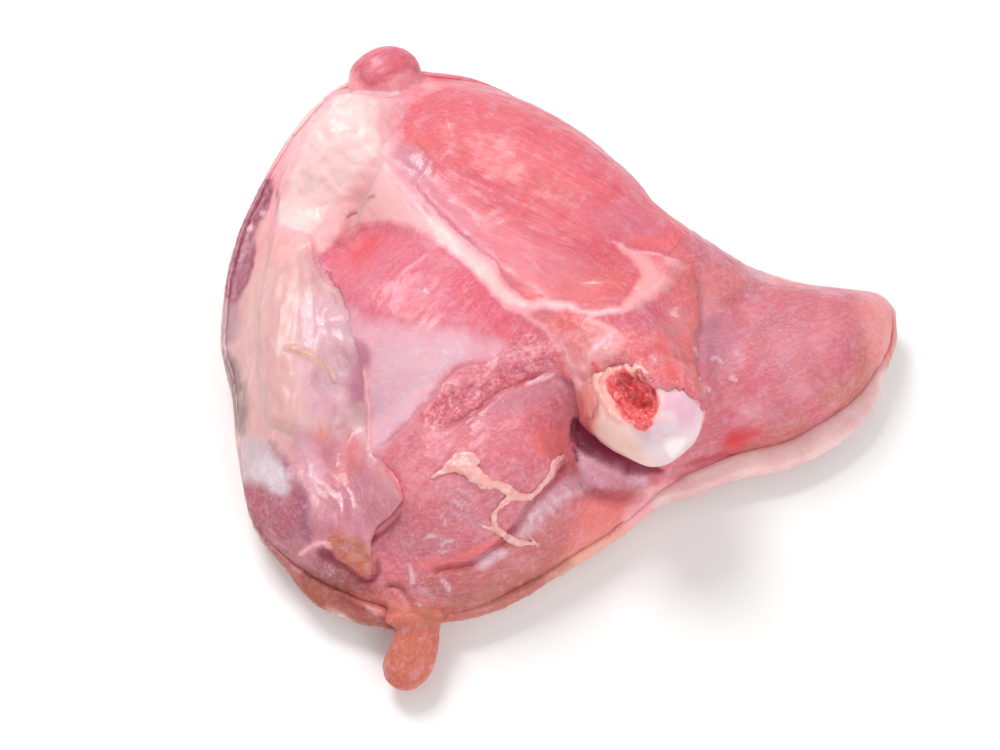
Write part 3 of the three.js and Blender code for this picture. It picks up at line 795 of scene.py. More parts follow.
def depth_inside(spots, outline):
    """How far inside a closed outline each spot is; less than 0 outside it."""
    ring = np.vstack([outline, outline[:1]])
    distance, _, _ = path_distance(spots, ring)
    within = np.zeros(len(spots), bool)
    x, y = spots.T
    for (ax, ay), (bx, by) in zip(ring[:-1], ring[1:]):
        if ay != by:
            crosses = (ay > y) != (by > y)
            within ^= crosses & (x < ax + (bx - ax) * (y - ay) / (by - ay))
    return np.where(within, distance, -distance)


LATTICE = 256
SEED_STEP = 7.31
NOISE_DRAWS = np.random.default_rng(58)
SHUFFLE = NOISE_DRAWS.permutation(LATTICE)
SLOPES = NOISE_DRAWS.normal(size=(LATTICE, 3))
SLOPES /= np.linalg.norm(SLOPES, axis=1)[:, None]
NOISE_GAIN = 1.6


def noise(points, size, seed=0, octaves=1):
    """Smooth noise from about -1 to 1, with lumps about size across."""
    total = np.zeros(len(points))
    weight = 1.0
    for octave in range(octaves):
        place = points / size * 2 ** octave + seed * SEED_STEP
        cell = np.floor(place)
        part = place - cell
        cell = cell.astype(int)
        fade = part ** 3 * (part * (part * 6 - 15) + 10)
        for corner in np.ndindex(2, 2, 2):
            at = (cell + corner) % LATTICE
            key = SHUFFLE[(SHUFFLE[(SHUFFLE[at[:, 0]] + at[:, 1]) % LATTICE] + at[:, 2]) % LATTICE]
            slope = np.einsum("ij,ij->i", SLOPES[key], part - corner)
            total += weight * slope * np.prod(np.where(corner, fade, 1 - fade), axis=1)
        weight *= 0.5
    return total * NOISE_GAIN


def photo_spots(points):
    """The photograph's pixel of each point."""
    from_eye = points - np.array(EYE)
    depth = from_eye @ np.array(SIGHT)
    across = from_eye[:, 0] / depth
    up = from_eye @ np.array(IMAGE_UP) / depth
    return np.stack([PHOTO_WIDE / 2 + across * FOCUS, PHOTO_HIGH / 2 - up * FOCUS], axis=1)


def photo_ray(x, y):
    """The direction from the camera through a pixel of the photograph."""
    right = Vector((1, 0, 0)) * (x - PHOTO_WIDE / 2) / FOCUS
    up = IMAGE_UP * (PHOTO_HIGH / 2 - y) / FOCUS
    return (SIGHT + right + up).normalized()


# Meshes


def points_of(mesh, field="co"):
    """A mesh's points, or with the field normal their normals, as an array."""
    found = np.empty(len(mesh.vertices) * 3, np.float32)
    mesh.vertices.foreach_get(field, found)
    return found.reshape(-1, 3).astype(float)


def set_points(mesh, points):
    """Moves a mesh's points."""
    mesh.vertices.foreach_set("co", points.astype(np.float32).ravel())
    mesh.update()


def edge_ends(mesh):
    """The first and the second point of each edge."""
    edges = np.empty(len(mesh.edges) * 2, np.int32)
    mesh.edges.foreach_get("vertices", edges)
    return edges.reshape(-1, 2).T


def mean_of_neighbours(values, first, second, near):
    """The mean of a vector over each point's neighbours."""
    mean = np.empty_like(values)
    for axis in range(values.shape[1]):
        mean[:, axis] = np.bincount(first, values[second, axis], len(values))
        mean[:, axis] += np.bincount(second, values[first, axis], len(values))
    return mean / near[:, None]


def smoothed(mesh, values, strengths):
    """Draws a vector at each point towards its neighbours' mean, once for each strength."""
    first, second = edge_ends(mesh)
    near = np.bincount(first, minlength=len(values)) + np.bincount(second, minlength=len(values))
    for strength in strengths:
        values = values + (mean_of_neighbours(values, first, second, near) - values) * strength
    return values


def relaxed(mesh, rounds):
    """Smooths a mesh's points without shrinking it."""
    set_points(mesh, smoothed(mesh, points_of(mesh), [SMOOTHING, UNSHRINKING] * rounds))


def new_piece(name, mesh):
    """A new object in the scene."""
    mesh.name = name
    piece = bpy.data.objects.new(name, mesh)
    bpy.context.scene.collection.objects.link(piece)
    return piece


def applied(piece):
    """Applies a piece's modifiers to its mesh."""
    graph = bpy.context.evaluated_depsgraph_get()
    mesh = bpy.data.meshes.new_from_object(piece.evaluated_get(graph))
    piece.modifiers.clear()
    old = piece.data
    piece.data = mesh
    bpy.data.meshes.remove(old)
    piece.data.name = piece.name
    return piece


def refit(mesh, surface):
    """Moves a rounded mesh back onto its solid as a whole, and leaves the solid's facets rounded."""
    points = points_of(mesh)
    away = np.array([surface.find_nearest(point)[0] for point in points]) - points
    set_points(mesh, points + smoothed(mesh, away, [SMOOTHING] * REFIT_ROUNDS))


def remeshed(piece, grain, rounds):
    """Gives a piece one even mesh of its outer form, and smooths it."""
    modifier = piece.modifiers.new("grain", "REMESH")
    modifier.mode = "VOXEL"
    modifier.voxel_size = grain
    applied(piece)
    relaxed(piece.data, rounds)


def fine_piece(name, node, grain, rounds=6, extra=(), grow=0.0):
    """A fine even mesh in the form of a CAD node, rounded where the solid has facets.

    Extra forms are small balls that merge with the solid. A thin rim grows before the mesh is made, so that
    it stays whole, and goes back to its size afterwards.
    """
    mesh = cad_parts[node].data.copy()
    mesh.materials.clear()
    shape = bmesh.new()
    shape.from_mesh(mesh)
    bmesh.ops.remove_doubles(shape, verts=shape.verts, dist=MERGE_GAP)
    shape.to_mesh(mesh)
    piece = new_piece(name, mesh)
    curve = piece.modifiers.new("rounding", "SUBSURF")
    curve.levels = 2
    applied(piece)
    set_points(piece.data, points_of(piece.data) + points_of(piece.data, "normal") * grow)
    add_balls(shape, extra)
    whole = BVHTree.FromBMesh(shape)
    shape.clear()
    shape.from_mesh(piece.data)
    add_balls(shape, extra)
    shape.to_mesh(piece.data)
    shape.free()
    remeshed(piece, grain * (1), rounds)
    refit(piece.data, whole)
    return piece


def add_balls(shape, balls):
    """Adds flattened balls to a shape: the middle, normal, half width and half height of each."""
    for spot, normal, half, flat in balls:
        turn = normal.to_track_quat("Z", "Y").to_matrix().to_4x4()
        place = Matrix.Translation(spot) @ turn @ Matrix.Diagonal((half, half, flat, 1))
        bmesh.ops.create_icosphere(shape, subdivisions=2, radius=1, matrix=place)


def seen_surface(pieces):
    """A function that gives the spot and the normal that a pixel of the photograph shows on some pieces."""
    graph = bpy.context.evaluated_depsgraph_get()
    surfaces = [BVHTree.FromObject(piece, graph) for piece in pieces]

    def seen(x, y):
        hits = [surface.ray_cast(EYE, photo_ray(x, y)) for surface in surfaces]
        hits = [hit for hit in hits if hit[0] is not None]
        if not hits:
            raise RuntimeError(f"nothing lies at pixel {x}, {y} of the photograph")
        return min(hits, key=lambda hit: hit[3])[:2]
    return seen


# Masks of tissue and marks. Some carry painted light: painted shade in creases and holes, painted shadow in
# the pocket, and the shine that also lays painted highlights. The mauve and deep masks carry film and fibre
# colour and also painted shade in creases.
MASKS = ("fat", "silver", "film", "mauve", "salmon", "peach", "blood", "deep", "dark", "shade", "brown",
         "rough", "shine")


class Canvas:
    """What is carved and painted on a piece, placed by the photograph's pixels."""

    def __init__(self, piece, colour, wobble=2, seed=0):
        self.piece = piece
        self.points = points_of(piece.data)
        self.normals = points_of(piece.data, "normal")
        to_eye = np.array(EYE) - self.points
        to_eye /= np.linalg.norm(to_eye, axis=1)[:, None]
        self.facing = ramp(np.einsum("ij,ij->i", to_eye, self.normals), FACING_NONE, FACING_FULL)
        self.place = self.points / MM
        self.spots = photo_spots(self.points)
        for axis in range(2):
            self.spots[:, axis] += wobble * noise(self.place, WOBBLE_SIZE, seed + axis, 3)
        self.height = np.zeros(len(self.points))
        self.colour = np.tile(np.asarray(colour, float), (len(self.points), 1))
        self.masks = {name: np.zeros(len(self.points)) for name in (*MASKS, "pores", "rim")}
        self.grain = self.place * PLAIN_GRAIN
        self.region = np.zeros(len(self.points), int)

    def near(self, curve, margin):
        """The points whose pixels are near a curve, on the side that the photograph shows."""
        low = curve.min(axis=0) - margin
        high = curve.max(axis=0) + margin
        close = (self.spots > low) & (self.spots < high)
        return np.flatnonzero(close.all(axis=1) & (self.facing > 0))

    def within(self, outline):
        """The points whose pixels are inside an outline."""
        curve = smooth_path(outline, closed=True)
        chosen = self.near(curve, 1)
        return chosen[depth_inside(self.spots[chosen], curve) > 0]

    def paint(self, chosen, mask, lift, marks):
        """Raises the chosen points and draws their colour and masks towards the marks' values."""
        self.height[chosen] += lift * mask
        for name, value in marks.items():
            if name == "colour":
                self.colour[chosen] += (np.array(value) - self.colour[chosen]) * mask[:, None]
            else:
                self.masks[name][chosen] += (value - self.masks[name][chosen]) * mask

    def line(self, path, width, lift=0, step=0, reach=20, taper=0.12, **marks):
        """A mark along a path. Width is its half width; step raises the side on the path's right hand."""
        curve = smooth_path(path)
        chosen = self.near(curve, max(3 * width, reach if step else 0))
        distance, place, side = path_distance(self.spots[chosen], curve)
        ends = np.sqrt(np.clip(np.minimum(place, 1 - place) / taper, 0, 1))
        mask = np.exp(-(distance / (width * (0.35 + 0.65 * ends))) ** 2) * ends * self.facing[chosen]
        self.paint(chosen, mask, lift, marks)
        if step:
            rise = np.where(side > 0, np.exp(-(distance / reach) ** 2), 0) * ramp(distance * side, -1.5, 2)
            self.height[chosen] += step * rise * ends * self.facing[chosen]

    def patch(self, outline, edge=5, lift=0, crown=0, **marks):
        """A mark inside an outline. Edge is how softly it ends; crown is how far in the lift is full."""
        curve = smooth_path(outline, closed=True)
        chosen = self.near(curve, edge + 1)
        depth = depth_inside(self.spots[chosen], curve)
        mask = ramp(depth, -edge, edge) * self.facing[chosen]
        self.paint(chosen, mask, 0, marks)
        rise = np.clip(depth / crown, 0, 1) if crown else ramp(depth, -edge, edge)
        self.height[chosen] += lift * np.sqrt(rise * (2 - rise)) * self.facing[chosen]

    def lines(self, paths, width, **marks):
        """The same mark along each path."""
        for path in paths:
            self.line(path, width, **marks)

    def knobs(self, places, lift=0, **marks):
        """Round lumps, each at a pixel and with its own size."""
        for x, y, size in places:
            middle = np.array([[x, y]], float)
            chosen = self.near(middle, 3 * size)
            distance = np.linalg.norm(self.spots[chosen] - middle, axis=1)
            self.paint(chosen, np.exp(-(distance / size) ** 2) * self.facing[chosen], lift, marks)

    def trim(self, path, reach):
        """Pulls in what the photograph would see past a path, on the path's right hand."""
        curve = smooth_path(path)
        low = curve.min(axis=0) - reach
        high = curve.max(axis=0) + reach
        spots = photo_spots(self.points)
        chosen = np.flatnonzero(((spots > low) & (spots < high)).all(axis=1))
        distance, place, side = path_distance(spots[chosen], curve)
        past = np.where(side > 0, distance, 0) * (1 - ramp(distance, 0.6 * reach, reach))
        past *= ramp(np.minimum(place, 1 - place), 0, 0.2)
        middle = curve.mean(axis=0)
        inward = middle - spots[chosen]
        inward /= np.linalg.norm(inward, axis=1)[:, None]
        shift = inward * (past * PIXEL * MM)[:, None]
        self.points[chosen] += shift[:, :1] * (1, 0, 0) - shift[:, 1:] * np.array(IMAGE_UP)

    def fibres(self, outline, angle, number):
        """Turns the grain inside an outline by its fibres' slope in the photograph, down to the right."""
        chosen = self.within(outline)
        slope = math.radians(angle)
        plan = math.atan2(-math.sin(slope) / math.sin(CAMERA_RISE), math.cos(slope))
        along = self.place[chosen] @ (math.cos(plan), math.sin(plan), 0)
        across = self.place[chosen] @ (-math.sin(plan), math.cos(plan), 0)
        self.grain[chosen] = np.stack([along * FIBRE_STRETCH, across, self.place[chosen, 2]], axis=1)
        self.region[chosen] = number

    def fibres_along(self, outline, path, number):
        """Lets the grain inside an outline follow a path."""
        chosen = self.within(outline)
        line = smooth_path(path)
        distance, place, side = path_distance(self.spots[chosen], line)
        length = np.linalg.norm(np.diff(line, axis=0), axis=1).sum() * PIXEL
        self.grain[chosen] = np.stack(
            [place * length * FIBRE_STRETCH, distance * side * PIXEL, self.place[chosen, 2]], axis=1)
        self.region[chosen] = number

    def seams(self):
        """1 at the points where fibres of two directions meet."""
        first, second = edge_ends(self.piece.data)
        crossing = self.region[first] != self.region[second]
        seam = np.zeros(len(self.points))
        seam[first[crossing]] = 1
        seam[second[crossing]] = 1
        return seam

    def finish(self, masks):
        """Moves the points by their heights, stores the colour, grain and masks, and shades smooth."""
        mesh = self.piece.data
        moved = self.points + self.normals * (self.height * MM)[:, None]
        low, high = (np.array(corner) for corner in CAD_BOX)
        set_points(mesh, np.clip(moved, low, high))
        colours = np.ones((len(self.points), 4))
        colours[:, :3] = self.colour
        fields = [
            ("flesh", "FLOAT_COLOR", "color", colours),
            ("grain", "FLOAT_VECTOR", "vector", self.grain)]
        for name in masks:
            values = self.seams() if name == "seam" else self.masks[name]
            fields.append((name, "FLOAT", "value", values))
        for name, kind, slot, values in fields:
            stored = mesh.attributes.new(name, kind, "POINT")
            stored.data.foreach_set(slot, values.astype(np.float32).ravel())
        mesh.polygons.foreach_set("use_smooth", [True] * len(mesh.polygons))
        mesh.update()


# Materials


class Value:
    """A node's output that takes part in Python sums. Each operator adds a Math node."""

    def __init__(self, look, socket):
        self.look = look
        self.socket = socket

    def math(self, operation, first, second):
        """One Math node."""
        return self.look.node("ShaderNodeMath", {"operation": operation}, {0: first, 1: second})

    def __add__(self, other):
        return self.math("ADD", self, other)

    def __radd__(self, other):
        return self.math("ADD", other, self)

    def __sub__(self, other):
        return self.math("SUBTRACT", self, other)

    def __rsub__(self, other):
        return self.math("SUBTRACT", other, self)

    def __mul__(self, other):
        return self.math("MULTIPLY", self, other)

    def __rmul__(self, other):
        return self.math("MULTIPLY", other, self)

    def or_more(self, other):
        """The higher of two values."""
        return self.math("MAXIMUM", self, other)


class Look:
    """A material and the nodes that make it."""

    def __init__(self, name):
        self.material = bpy.data.materials.new(name)
        self.material.use_nodes = True
        self.tree = self.material.node_tree
        self.tree.nodes.clear()

    def node(self, kind, settings=None, inputs=None, output=0):
        """Adds a node: its settings first, then the values or links of its sockets."""
        made = self.tree.nodes.new(kind)
        for name, value in (settings or {}).items():
            setattr(made, name, value)
        for name, value in (inputs or {}).items():
            if isinstance(value, Value):
                self.tree.links.new(value.socket, made.inputs[name])
            else:
                made.inputs[name].default_value = value
        return None if output is None else Value(self, made.outputs[output])

    def mask(self, name):
        """A number stored in the mesh."""
        return self.node("ShaderNodeAttribute", {"attribute_name": name}, output="Fac")

    def colour(self, name):
        """A colour stored in the mesh."""
        return self.node("ShaderNodeAttribute", {"attribute_name": name}, output="Color")

    def grain(self):
        """The place along, across and above the fibres, in millimetres."""
        return self.node("ShaderNodeAttribute", {"attribute_name": "grain"}, output="Vector")

    def place(self):
        """The place in the object, in millimetres."""
        metres = self.node("ShaderNodeTexCoord", output="Object")
        scaled = {"operation": "SCALE"}
        return self.node("ShaderNodeVectorMath", scaled, {0: metres, "Scale": 1 / MM})

    def squeezed(self, where, x, y, z):
        """A place with its axes scaled."""
        return self.node("ShaderNodeVectorMath", {"operation": "MULTIPLY"}, {0: where, 1: (x, y, z)})

    def noise(self, where, size, detail=2.0, roughness=0.5, distortion=0.0):
        """Noise from 0 to 1 with lumps about size millimetres across."""
        return self.node("ShaderNodeTexNoise", {"noise_dimensions": "3D"}, {
            "Vector": where, "Scale": 1 / size, "Detail": detail, "Roughness": roughness,
            "Distortion": distortion})

    def ramp(self, value, low, high, bottom=0.0, top=1.0):
        """A smooth rise from bottom at low to top at high."""
        return self.node("ShaderNodeMapRange", {"interpolation_type": "SMOOTHSTEP"}, {
            "Value": value, "From Min": low, "From Max": high, "To Min": bottom, "To Max": top})

    def mix(self, first, second, factor):
        """A mix of two colours."""
        def paint(colour):
            return colour if isinstance(colour, Value) else (*colour, 1)
        return self.node("ShaderNodeMix", {"data_type": "RGBA", "clamp_factor": True}, {
            0: factor, 6: paint(first), 7: paint(second)}, output=2)

    def layers(self, base, *layers):
        """A colour under others, each laid where its pattern rises from low to high, by its weight."""
        for colour, pattern, low, high, weight in layers:
            base = self.mix(base, colour, self.ramp(pattern, low, high) * weight)
        return base

    def bump(self, height, strength, distance):
        """A normal turned by a height; distance in metres."""
        inputs = {"Height": height, "Strength": strength, "Distance": distance}
        return self.node("ShaderNodeBump", inputs=inputs)

    def shade(self, base, roughness, coat, normal, **constants):
        """The surface shader and the material's output. The constants are numbers of its own sockets."""
        inputs = {"Base Color": base, "Roughness": roughness, "Coat Weight": coat, "Normal": normal}
        for name, value in constants.items():
            inputs[name.replace("_", " ").title().replace("Ior", "IOR")] = value
        shader = self.node("ShaderNodeBsdfPrincipled", {"subsurface_method": "RANDOM_WALK"}, inputs)
        self.node("ShaderNodeOutputMaterial", None, {"Surface": shader}, output=None)
        return self.material


def tissue(look, base, mask, colour, ragged, soft):
    """Lays a tissue over a colour where its mask is high, with a soft edge that the ragged noise tears."""
    edge = mask + (ragged - 0.5) * 0.6
    return look.mix(base, colour, look.ramp(edge, 0.5 - soft, 0.5 + soft) * look.ramp(mask, 0, 0.35))


# What the photograph shows on the flesh


def muscle_regions(canvas, tones):
    """The muscles' colours and the directions of their fibres."""
    canvas.patch(OUTER_THIGH, edge=6, colour=tones.outer, rough=0.04)
    canvas.patch(OUTER_FACET, edge=14, colour=tones.facet)
    canvas.patch(OUTER_PALE, edge=14, colour=tones.facet)
    canvas.patch(MIDDLE_MUSCLE, edge=8, colour=tones.middle, rough=0.15)
    canvas.patch(MIDDLE_DEEP, edge=8, colour=tones.deep)
    canvas.patch(WEDGE, edge=6, colour=tones.wedge, rough=0.15)
    canvas.patch(WEDGE_TAN, edge=14, colour=tones.wedge_tan)
    canvas.patch(WEDGE_TIP, edge=14, colour=tones.wedge_tip)
    canvas.knobs(WEDGE_CLOUDS, colour=tones.wedge_pale)
    canvas.knobs(WEDGE_DEEP, colour=tones.hip_mauve)
    canvas.patch(FRONT_BAND, edge=5, colour=tones.front, rough=0.22)
    canvas.patch(LOWER_MUSCLE, edge=4, colour=tones.lower, rough=0.3)
    canvas.patch(LOW_LEFT, edge=6, colour=tones.low_left, rough=0.2)
    canvas.patch(LOW_LEFT_PINK, edge=14, colour=tones.low_pink)
    canvas.patch(HIP_MEAT, edge=4, colour=tones.hip, rough=0.3)
    canvas.patch(HIP_MAUVE, edge=6, colour=tones.hip_mauve)
    canvas.patch(ROUGH_STRIP, edge=3, colour=tones.rough, rough=1)
    canvas.patch(LOOSE_SCRAP, edge=7, colour=tones.scrap, rough=0.08)
    canvas.patch(KNEE_KNOB, edge=4, colour=tones.knob, rough=0)
    fibres = [
        (OUTER_THIGH, 27), (MIDDLE_MUSCLE, -52), (WEDGE, -24), (HIP_MEAT, 70),
        (LOWER_MUSCLE, -30), (ROUGH_STRIP, -35), (LOW_LEFT, 40), (LOOSE_SCRAP, -75), (KNEE_KNOB, -30),
    ]
    for number, (outline, angle) in enumerate(fibres, start=1):
        canvas.fibres(outline, angle, number)
    canvas.fibres_along(FRONT_BAND, FRONT_CREASE + FRONT_STEP[1:], len(fibres) + 1)


def muscle_forms(canvas, tones):
    """Creases, steps and rolls between the muscles, with painted shade in the creases, folds, cracks, holes
    and the pocket under the bone.
    """
    canvas.line(OUTER_RIDGE, 10, lift=0.45, salmon=0.1, taper=0.3)
    # Painted shade in the creases below: mauve, deep red and dark, where the relief sinks.
    canvas.line(OUTER_CREASE, 5.5, lift=-0.7, mauve=0.5, deep=0.1)
    canvas.line(FACET_SHADE, 7, mauve=0.35, deep=0.06)
    canvas.line(ROUGH_LINE, 3.5, lift=-1, step=0.5, reach=16, salmon=0.4, deep=0.45)
    canvas.line(SILVER_EDGE, 1.8, lift=-0.4, deep=0.35)
    canvas.line(LOWER_END, 3.2, lift=-1.2, mauve=0.5, dark=0.2)
    canvas.patch(FRONT_ROLL, edge=5, lift=0.5, crown=8, salmon=0.45, blood=0.1)
    canvas.line(FRONT_CREASE, 4, lift=-1.2, step=0.4, reach=14, blood=0.15, dark=0.35)
    canvas.line(FRONT_STEP, 3.2, lift=-0.9, step=0.5, reach=16, deep=0.5)
    canvas.line(LOW_FOLD, 2.6, lift=-1, dark=0.6)
    canvas.line(LOW_CRACK, 3, lift=-1.1, dark=0.7)
    canvas.line(FASCIA_FOLD, 3, lift=-1, mauve=0.7, dark=0.35)
    canvas.line(WEDGE_CREASE, 3, lift=-1, mauve=0.5, salmon=0.2)
    canvas.line(HIP_GAP, 2.5, lift=-0.6, mauve=0.3)
    canvas.patch(POCKET_WET, edge=5, lift=0.5, crown=8, colour=tones.wet, rough=0, shine=1)
    # Painted shadow in the pocket under the bone's hip end, darkest at its deep end and in the nick.
    canvas.patch(POCKET, edge=3, lift=-1.8, crown=8, rough=0, shade=0.8)
    canvas.patch(POCKET_DEEP, edge=5, shade=0.97)
    canvas.line(POCKET_NICK, 1.6, lift=-0.5, dark=0.8, shade=0.5)
    canvas.line(RIM_CREASE, 7, lift=0.6, taper=0.02)
    canvas.line(RIM_LEFT, 10, lift=1.2, taper=0.15)
    canvas.line(KNOB_NECK, 7, lift=1.4, taper=0.4)
    canvas.trim(KNOB_SIDE, reach=14)
    canvas.line(TONGUE_SHADOW, 2.4, lift=-0.6, dark=0.8)
    canvas.line(TONGUE_LOW_SHADOW, 3.5, lift=-1, dark=0.85)
    canvas.patch(TONGUE_HOLE, edge=3, lift=-0.6, dark=0.9)


def left_side(canvas, sheet):
    """The left side's fat and gristle, on the sheet itself and on the flesh beside it, with painted shade
    at the left edge and painted highlights on the fat and film.
    """
    canvas.patch(SHEET_MIDDLE, edge=7, colour=sheet.middle, film=1, fat=0.1, rough=0)
    canvas.patch(SHEET_LEFT, edge=10, colour=sheet.left, film=0.6, fat=0.15, rough=0)
    canvas.patch(SHEET_LOW, edge=16, colour=sheet.low, film=0.6, rough=0.2, shine=0.3)
    canvas.patch(SHEET_SALMON, edge=12, colour=sheet.salmon, fat=0.12)
    canvas.patch(SHEET_FILM, edge=10, colour=sheet.film, film=1, shine=0.45)
    canvas.patch(SHEET_RED_LOW, edge=8, colour=sheet.red, film=0.4)
    canvas.knobs(SHEET_RED_SPOT, salmon=0.6)
    canvas.patch(SHEET_TOP, edge=14, fat=1, film=0.3, rough=0)
    canvas.patch(SHEET_PINK_EDGE, edge=12, fat=0.62)
    # Dark strip at the left edge, partly painted shade; along its inner edge, painted shadow under the
    # sheet's edge.
    canvas.patch(DARK_STRIP, edge=3, colour=sheet.strip, fat=0, film=0.1)
    canvas.line(DARK_STRIP_EDGE, 2.2, lift=-0.4, shade=0.35)
    canvas.knobs(DARK_STRIP_KNOBS, lift=0.4, silver=0.9)
    # Grey rim at the outline, partly painted shade.
    canvas.patch(SHEET_GREY_RIM, edge=6, colour=sheet.rim, fat=0)
    canvas.patch(SHEET_LILAC_RIM, edge=5, colour=sheet.lilac, fat=0)
    canvas.patch(TONGUE_PALE, edge=9, silver=0.5)
    canvas.patch(SHEET_GREY, edge=7, colour=sheet.grey, shine=0.5, silver=0.2, film=0.8)
    # Wet white film with painted sheen.
    canvas.patch(SHEET_WET_SHEEN, edge=6, lift=0.3, colour=sheet.wet, silver=0, film=0.2, shine=0.9)
    canvas.patch(SHEET_PURPLE, edge=5, colour=sheet.purple, fat=0)
    canvas.patch(TONGUE_TIP, edge=6, lift=0.5, crown=8, colour=sheet.tip, film=0.3)
    canvas.line(SHEET_SEAM, 2.2, lift=-0.4, salmon=0.45, mauve=0.2)
    canvas.line(SINEW, 4, lift=1.4, colour=sheet.sinew, film=0, shine=0.3)
    canvas.line(TONGUE_RIM, 3, lift=0.3, fat=0.2, salmon=0.55)
    canvas.line(TONGUE_CURL, 3.2, lift=0.9, fat=0.8, shine=0.4)
    canvas.lines(SHEET_WRINKLES, 2, lift=0.25, step=0.15, reach=10, silver=0.35, taper=0.4)
    # Lumps of fat with painted highlights.
    canvas.knobs(FAT_KNOB_GLINTS, lift=0.6, fat=1, silver=0.3, shine=1)
    # Painted highlights on the sheet.
    canvas.lines(SHEET_GLINTS, 3, lift=0.4, silver=0.8, shine=1)


def seams_and_tendons(canvas):
    """The seam of fat between the muscles, the silver skin and the tendons, with painted shade beside a
    crease and a painted highlight along a tendon.
    """
    canvas.patch(LAVENDER_START, edge=9, mauve=0.5, silver=0.35)
    # Painted shade on the facet beside the crease.
    canvas.patch(FACET_DARK, edge=12, mauve=0.3)
    canvas.patch(FACET_RED, edge=12, salmon=0.45)
    canvas.patch(SILVER_SKIN, edge=16, lift=0.25, silver=0.66, film=0.4, shine=0.4, rough=0)
    canvas.patch(SILVER_HEART, edge=14, silver=0.95, film=0.5, shine=0.4)
    canvas.patch(FAT_SEAM, edge=6, lift=0.3, crown=16, fat=0.82, rough=0)
    canvas.patch(SEAM_PEACH, edge=12, salmon=0.1, peach=0.25)
    canvas.line(SEAM_WHITE, 8, lift=-0.25, fat=0.84)
    canvas.line(SEAM_PINK, 6, lift=-0.3, fat=0.55)
    canvas.line(SEAM_RIGHT, 4.2, lift=0.4, fat=0.85)
    canvas.line(SEAM_BRANCH, 5, lift=0.3, fat=0.7)
    canvas.line(MIDDLE_LINE, 1.8, lift=0.25, silver=0.45, fat=0.2)
    canvas.patch(RIGHT_TENDON, edge=8, lift=0.6, crown=7, peach=0.85, fat=0.45, rough=0)
    canvas.line(TENDON_WARM, 6, peach=0.1, salmon=0.5)
    canvas.line(TENDON_WHITE, 4, lift=0.2, fat=0.7, silver=0.2)
    # Painted highlight along the top of the right tendon.
    canvas.line(TENDON_TOP_HIGHLIGHT, 2.2, lift=0.3, fat=0.7, shine=1)
    canvas.patch(MEMBRANE, edge=6, salmon=0.3, brown=0.25, deep=0.12, shine=0.4)
    canvas.patch(MEMBRANE_POOL, edge=6, mauve=0.4, silver=0.25, shine=0.4)
    canvas.line(MEMBRANE_EDGE, 3, lift=0.6, salmon=0.4, brown=0.5)
    canvas.line(MEMBRANE_FOLD, 2.2, lift=0.5, salmon=0.5)


def hip_tissues(canvas, tones):
    """The tissue round the bone's hip end."""
    canvas.patch(HIP_PEACH, edge=7, lift=0.25, peach=0.42, salmon=0.42, rough=0.8)
    canvas.patch(HIP_CREAM, edge=8, peach=0.65, fat=0.42, salmon=0.2)
    canvas.lines(HIP_STRANDS, 3.2, lift=0.2, fat=0.75, taper=0.3)
    canvas.patch(HIP_RED, edge=4, salmon=0.5, peach=0)
    canvas.patch(HIP_SALMON, edge=7, lift=0.3, salmon=0.35, rough=0.6)
    canvas.line(HIP_CHANNEL, 6, lift=-0.4, salmon=0.7, blood=0.35)
    canvas.patch(HIP_LOBE, edge=5, colour=tones.lobe, salmon=0.2, peach=0.2)
    canvas.line(HIP_RED_LINE, 2.5, blood=0.7)
    canvas.patch(WEDGE_FLAP, edge=5, lift=0.3, crown=6, salmon=0.3, peach=0.25)
    canvas.patch(WEDGE_PALE, edge=8, peach=0.35, silver=0.2)
    canvas.patch(WEDGE_MAUVE, edge=12, mauve=0.45, silver=0.1, shine=0.6)
    # Dark red line along the wedge's lower edge: red flesh with painted shadow.
    canvas.line(WEDGE_RED, 3, lift=-0.5, blood=0.4, dark=0.3)


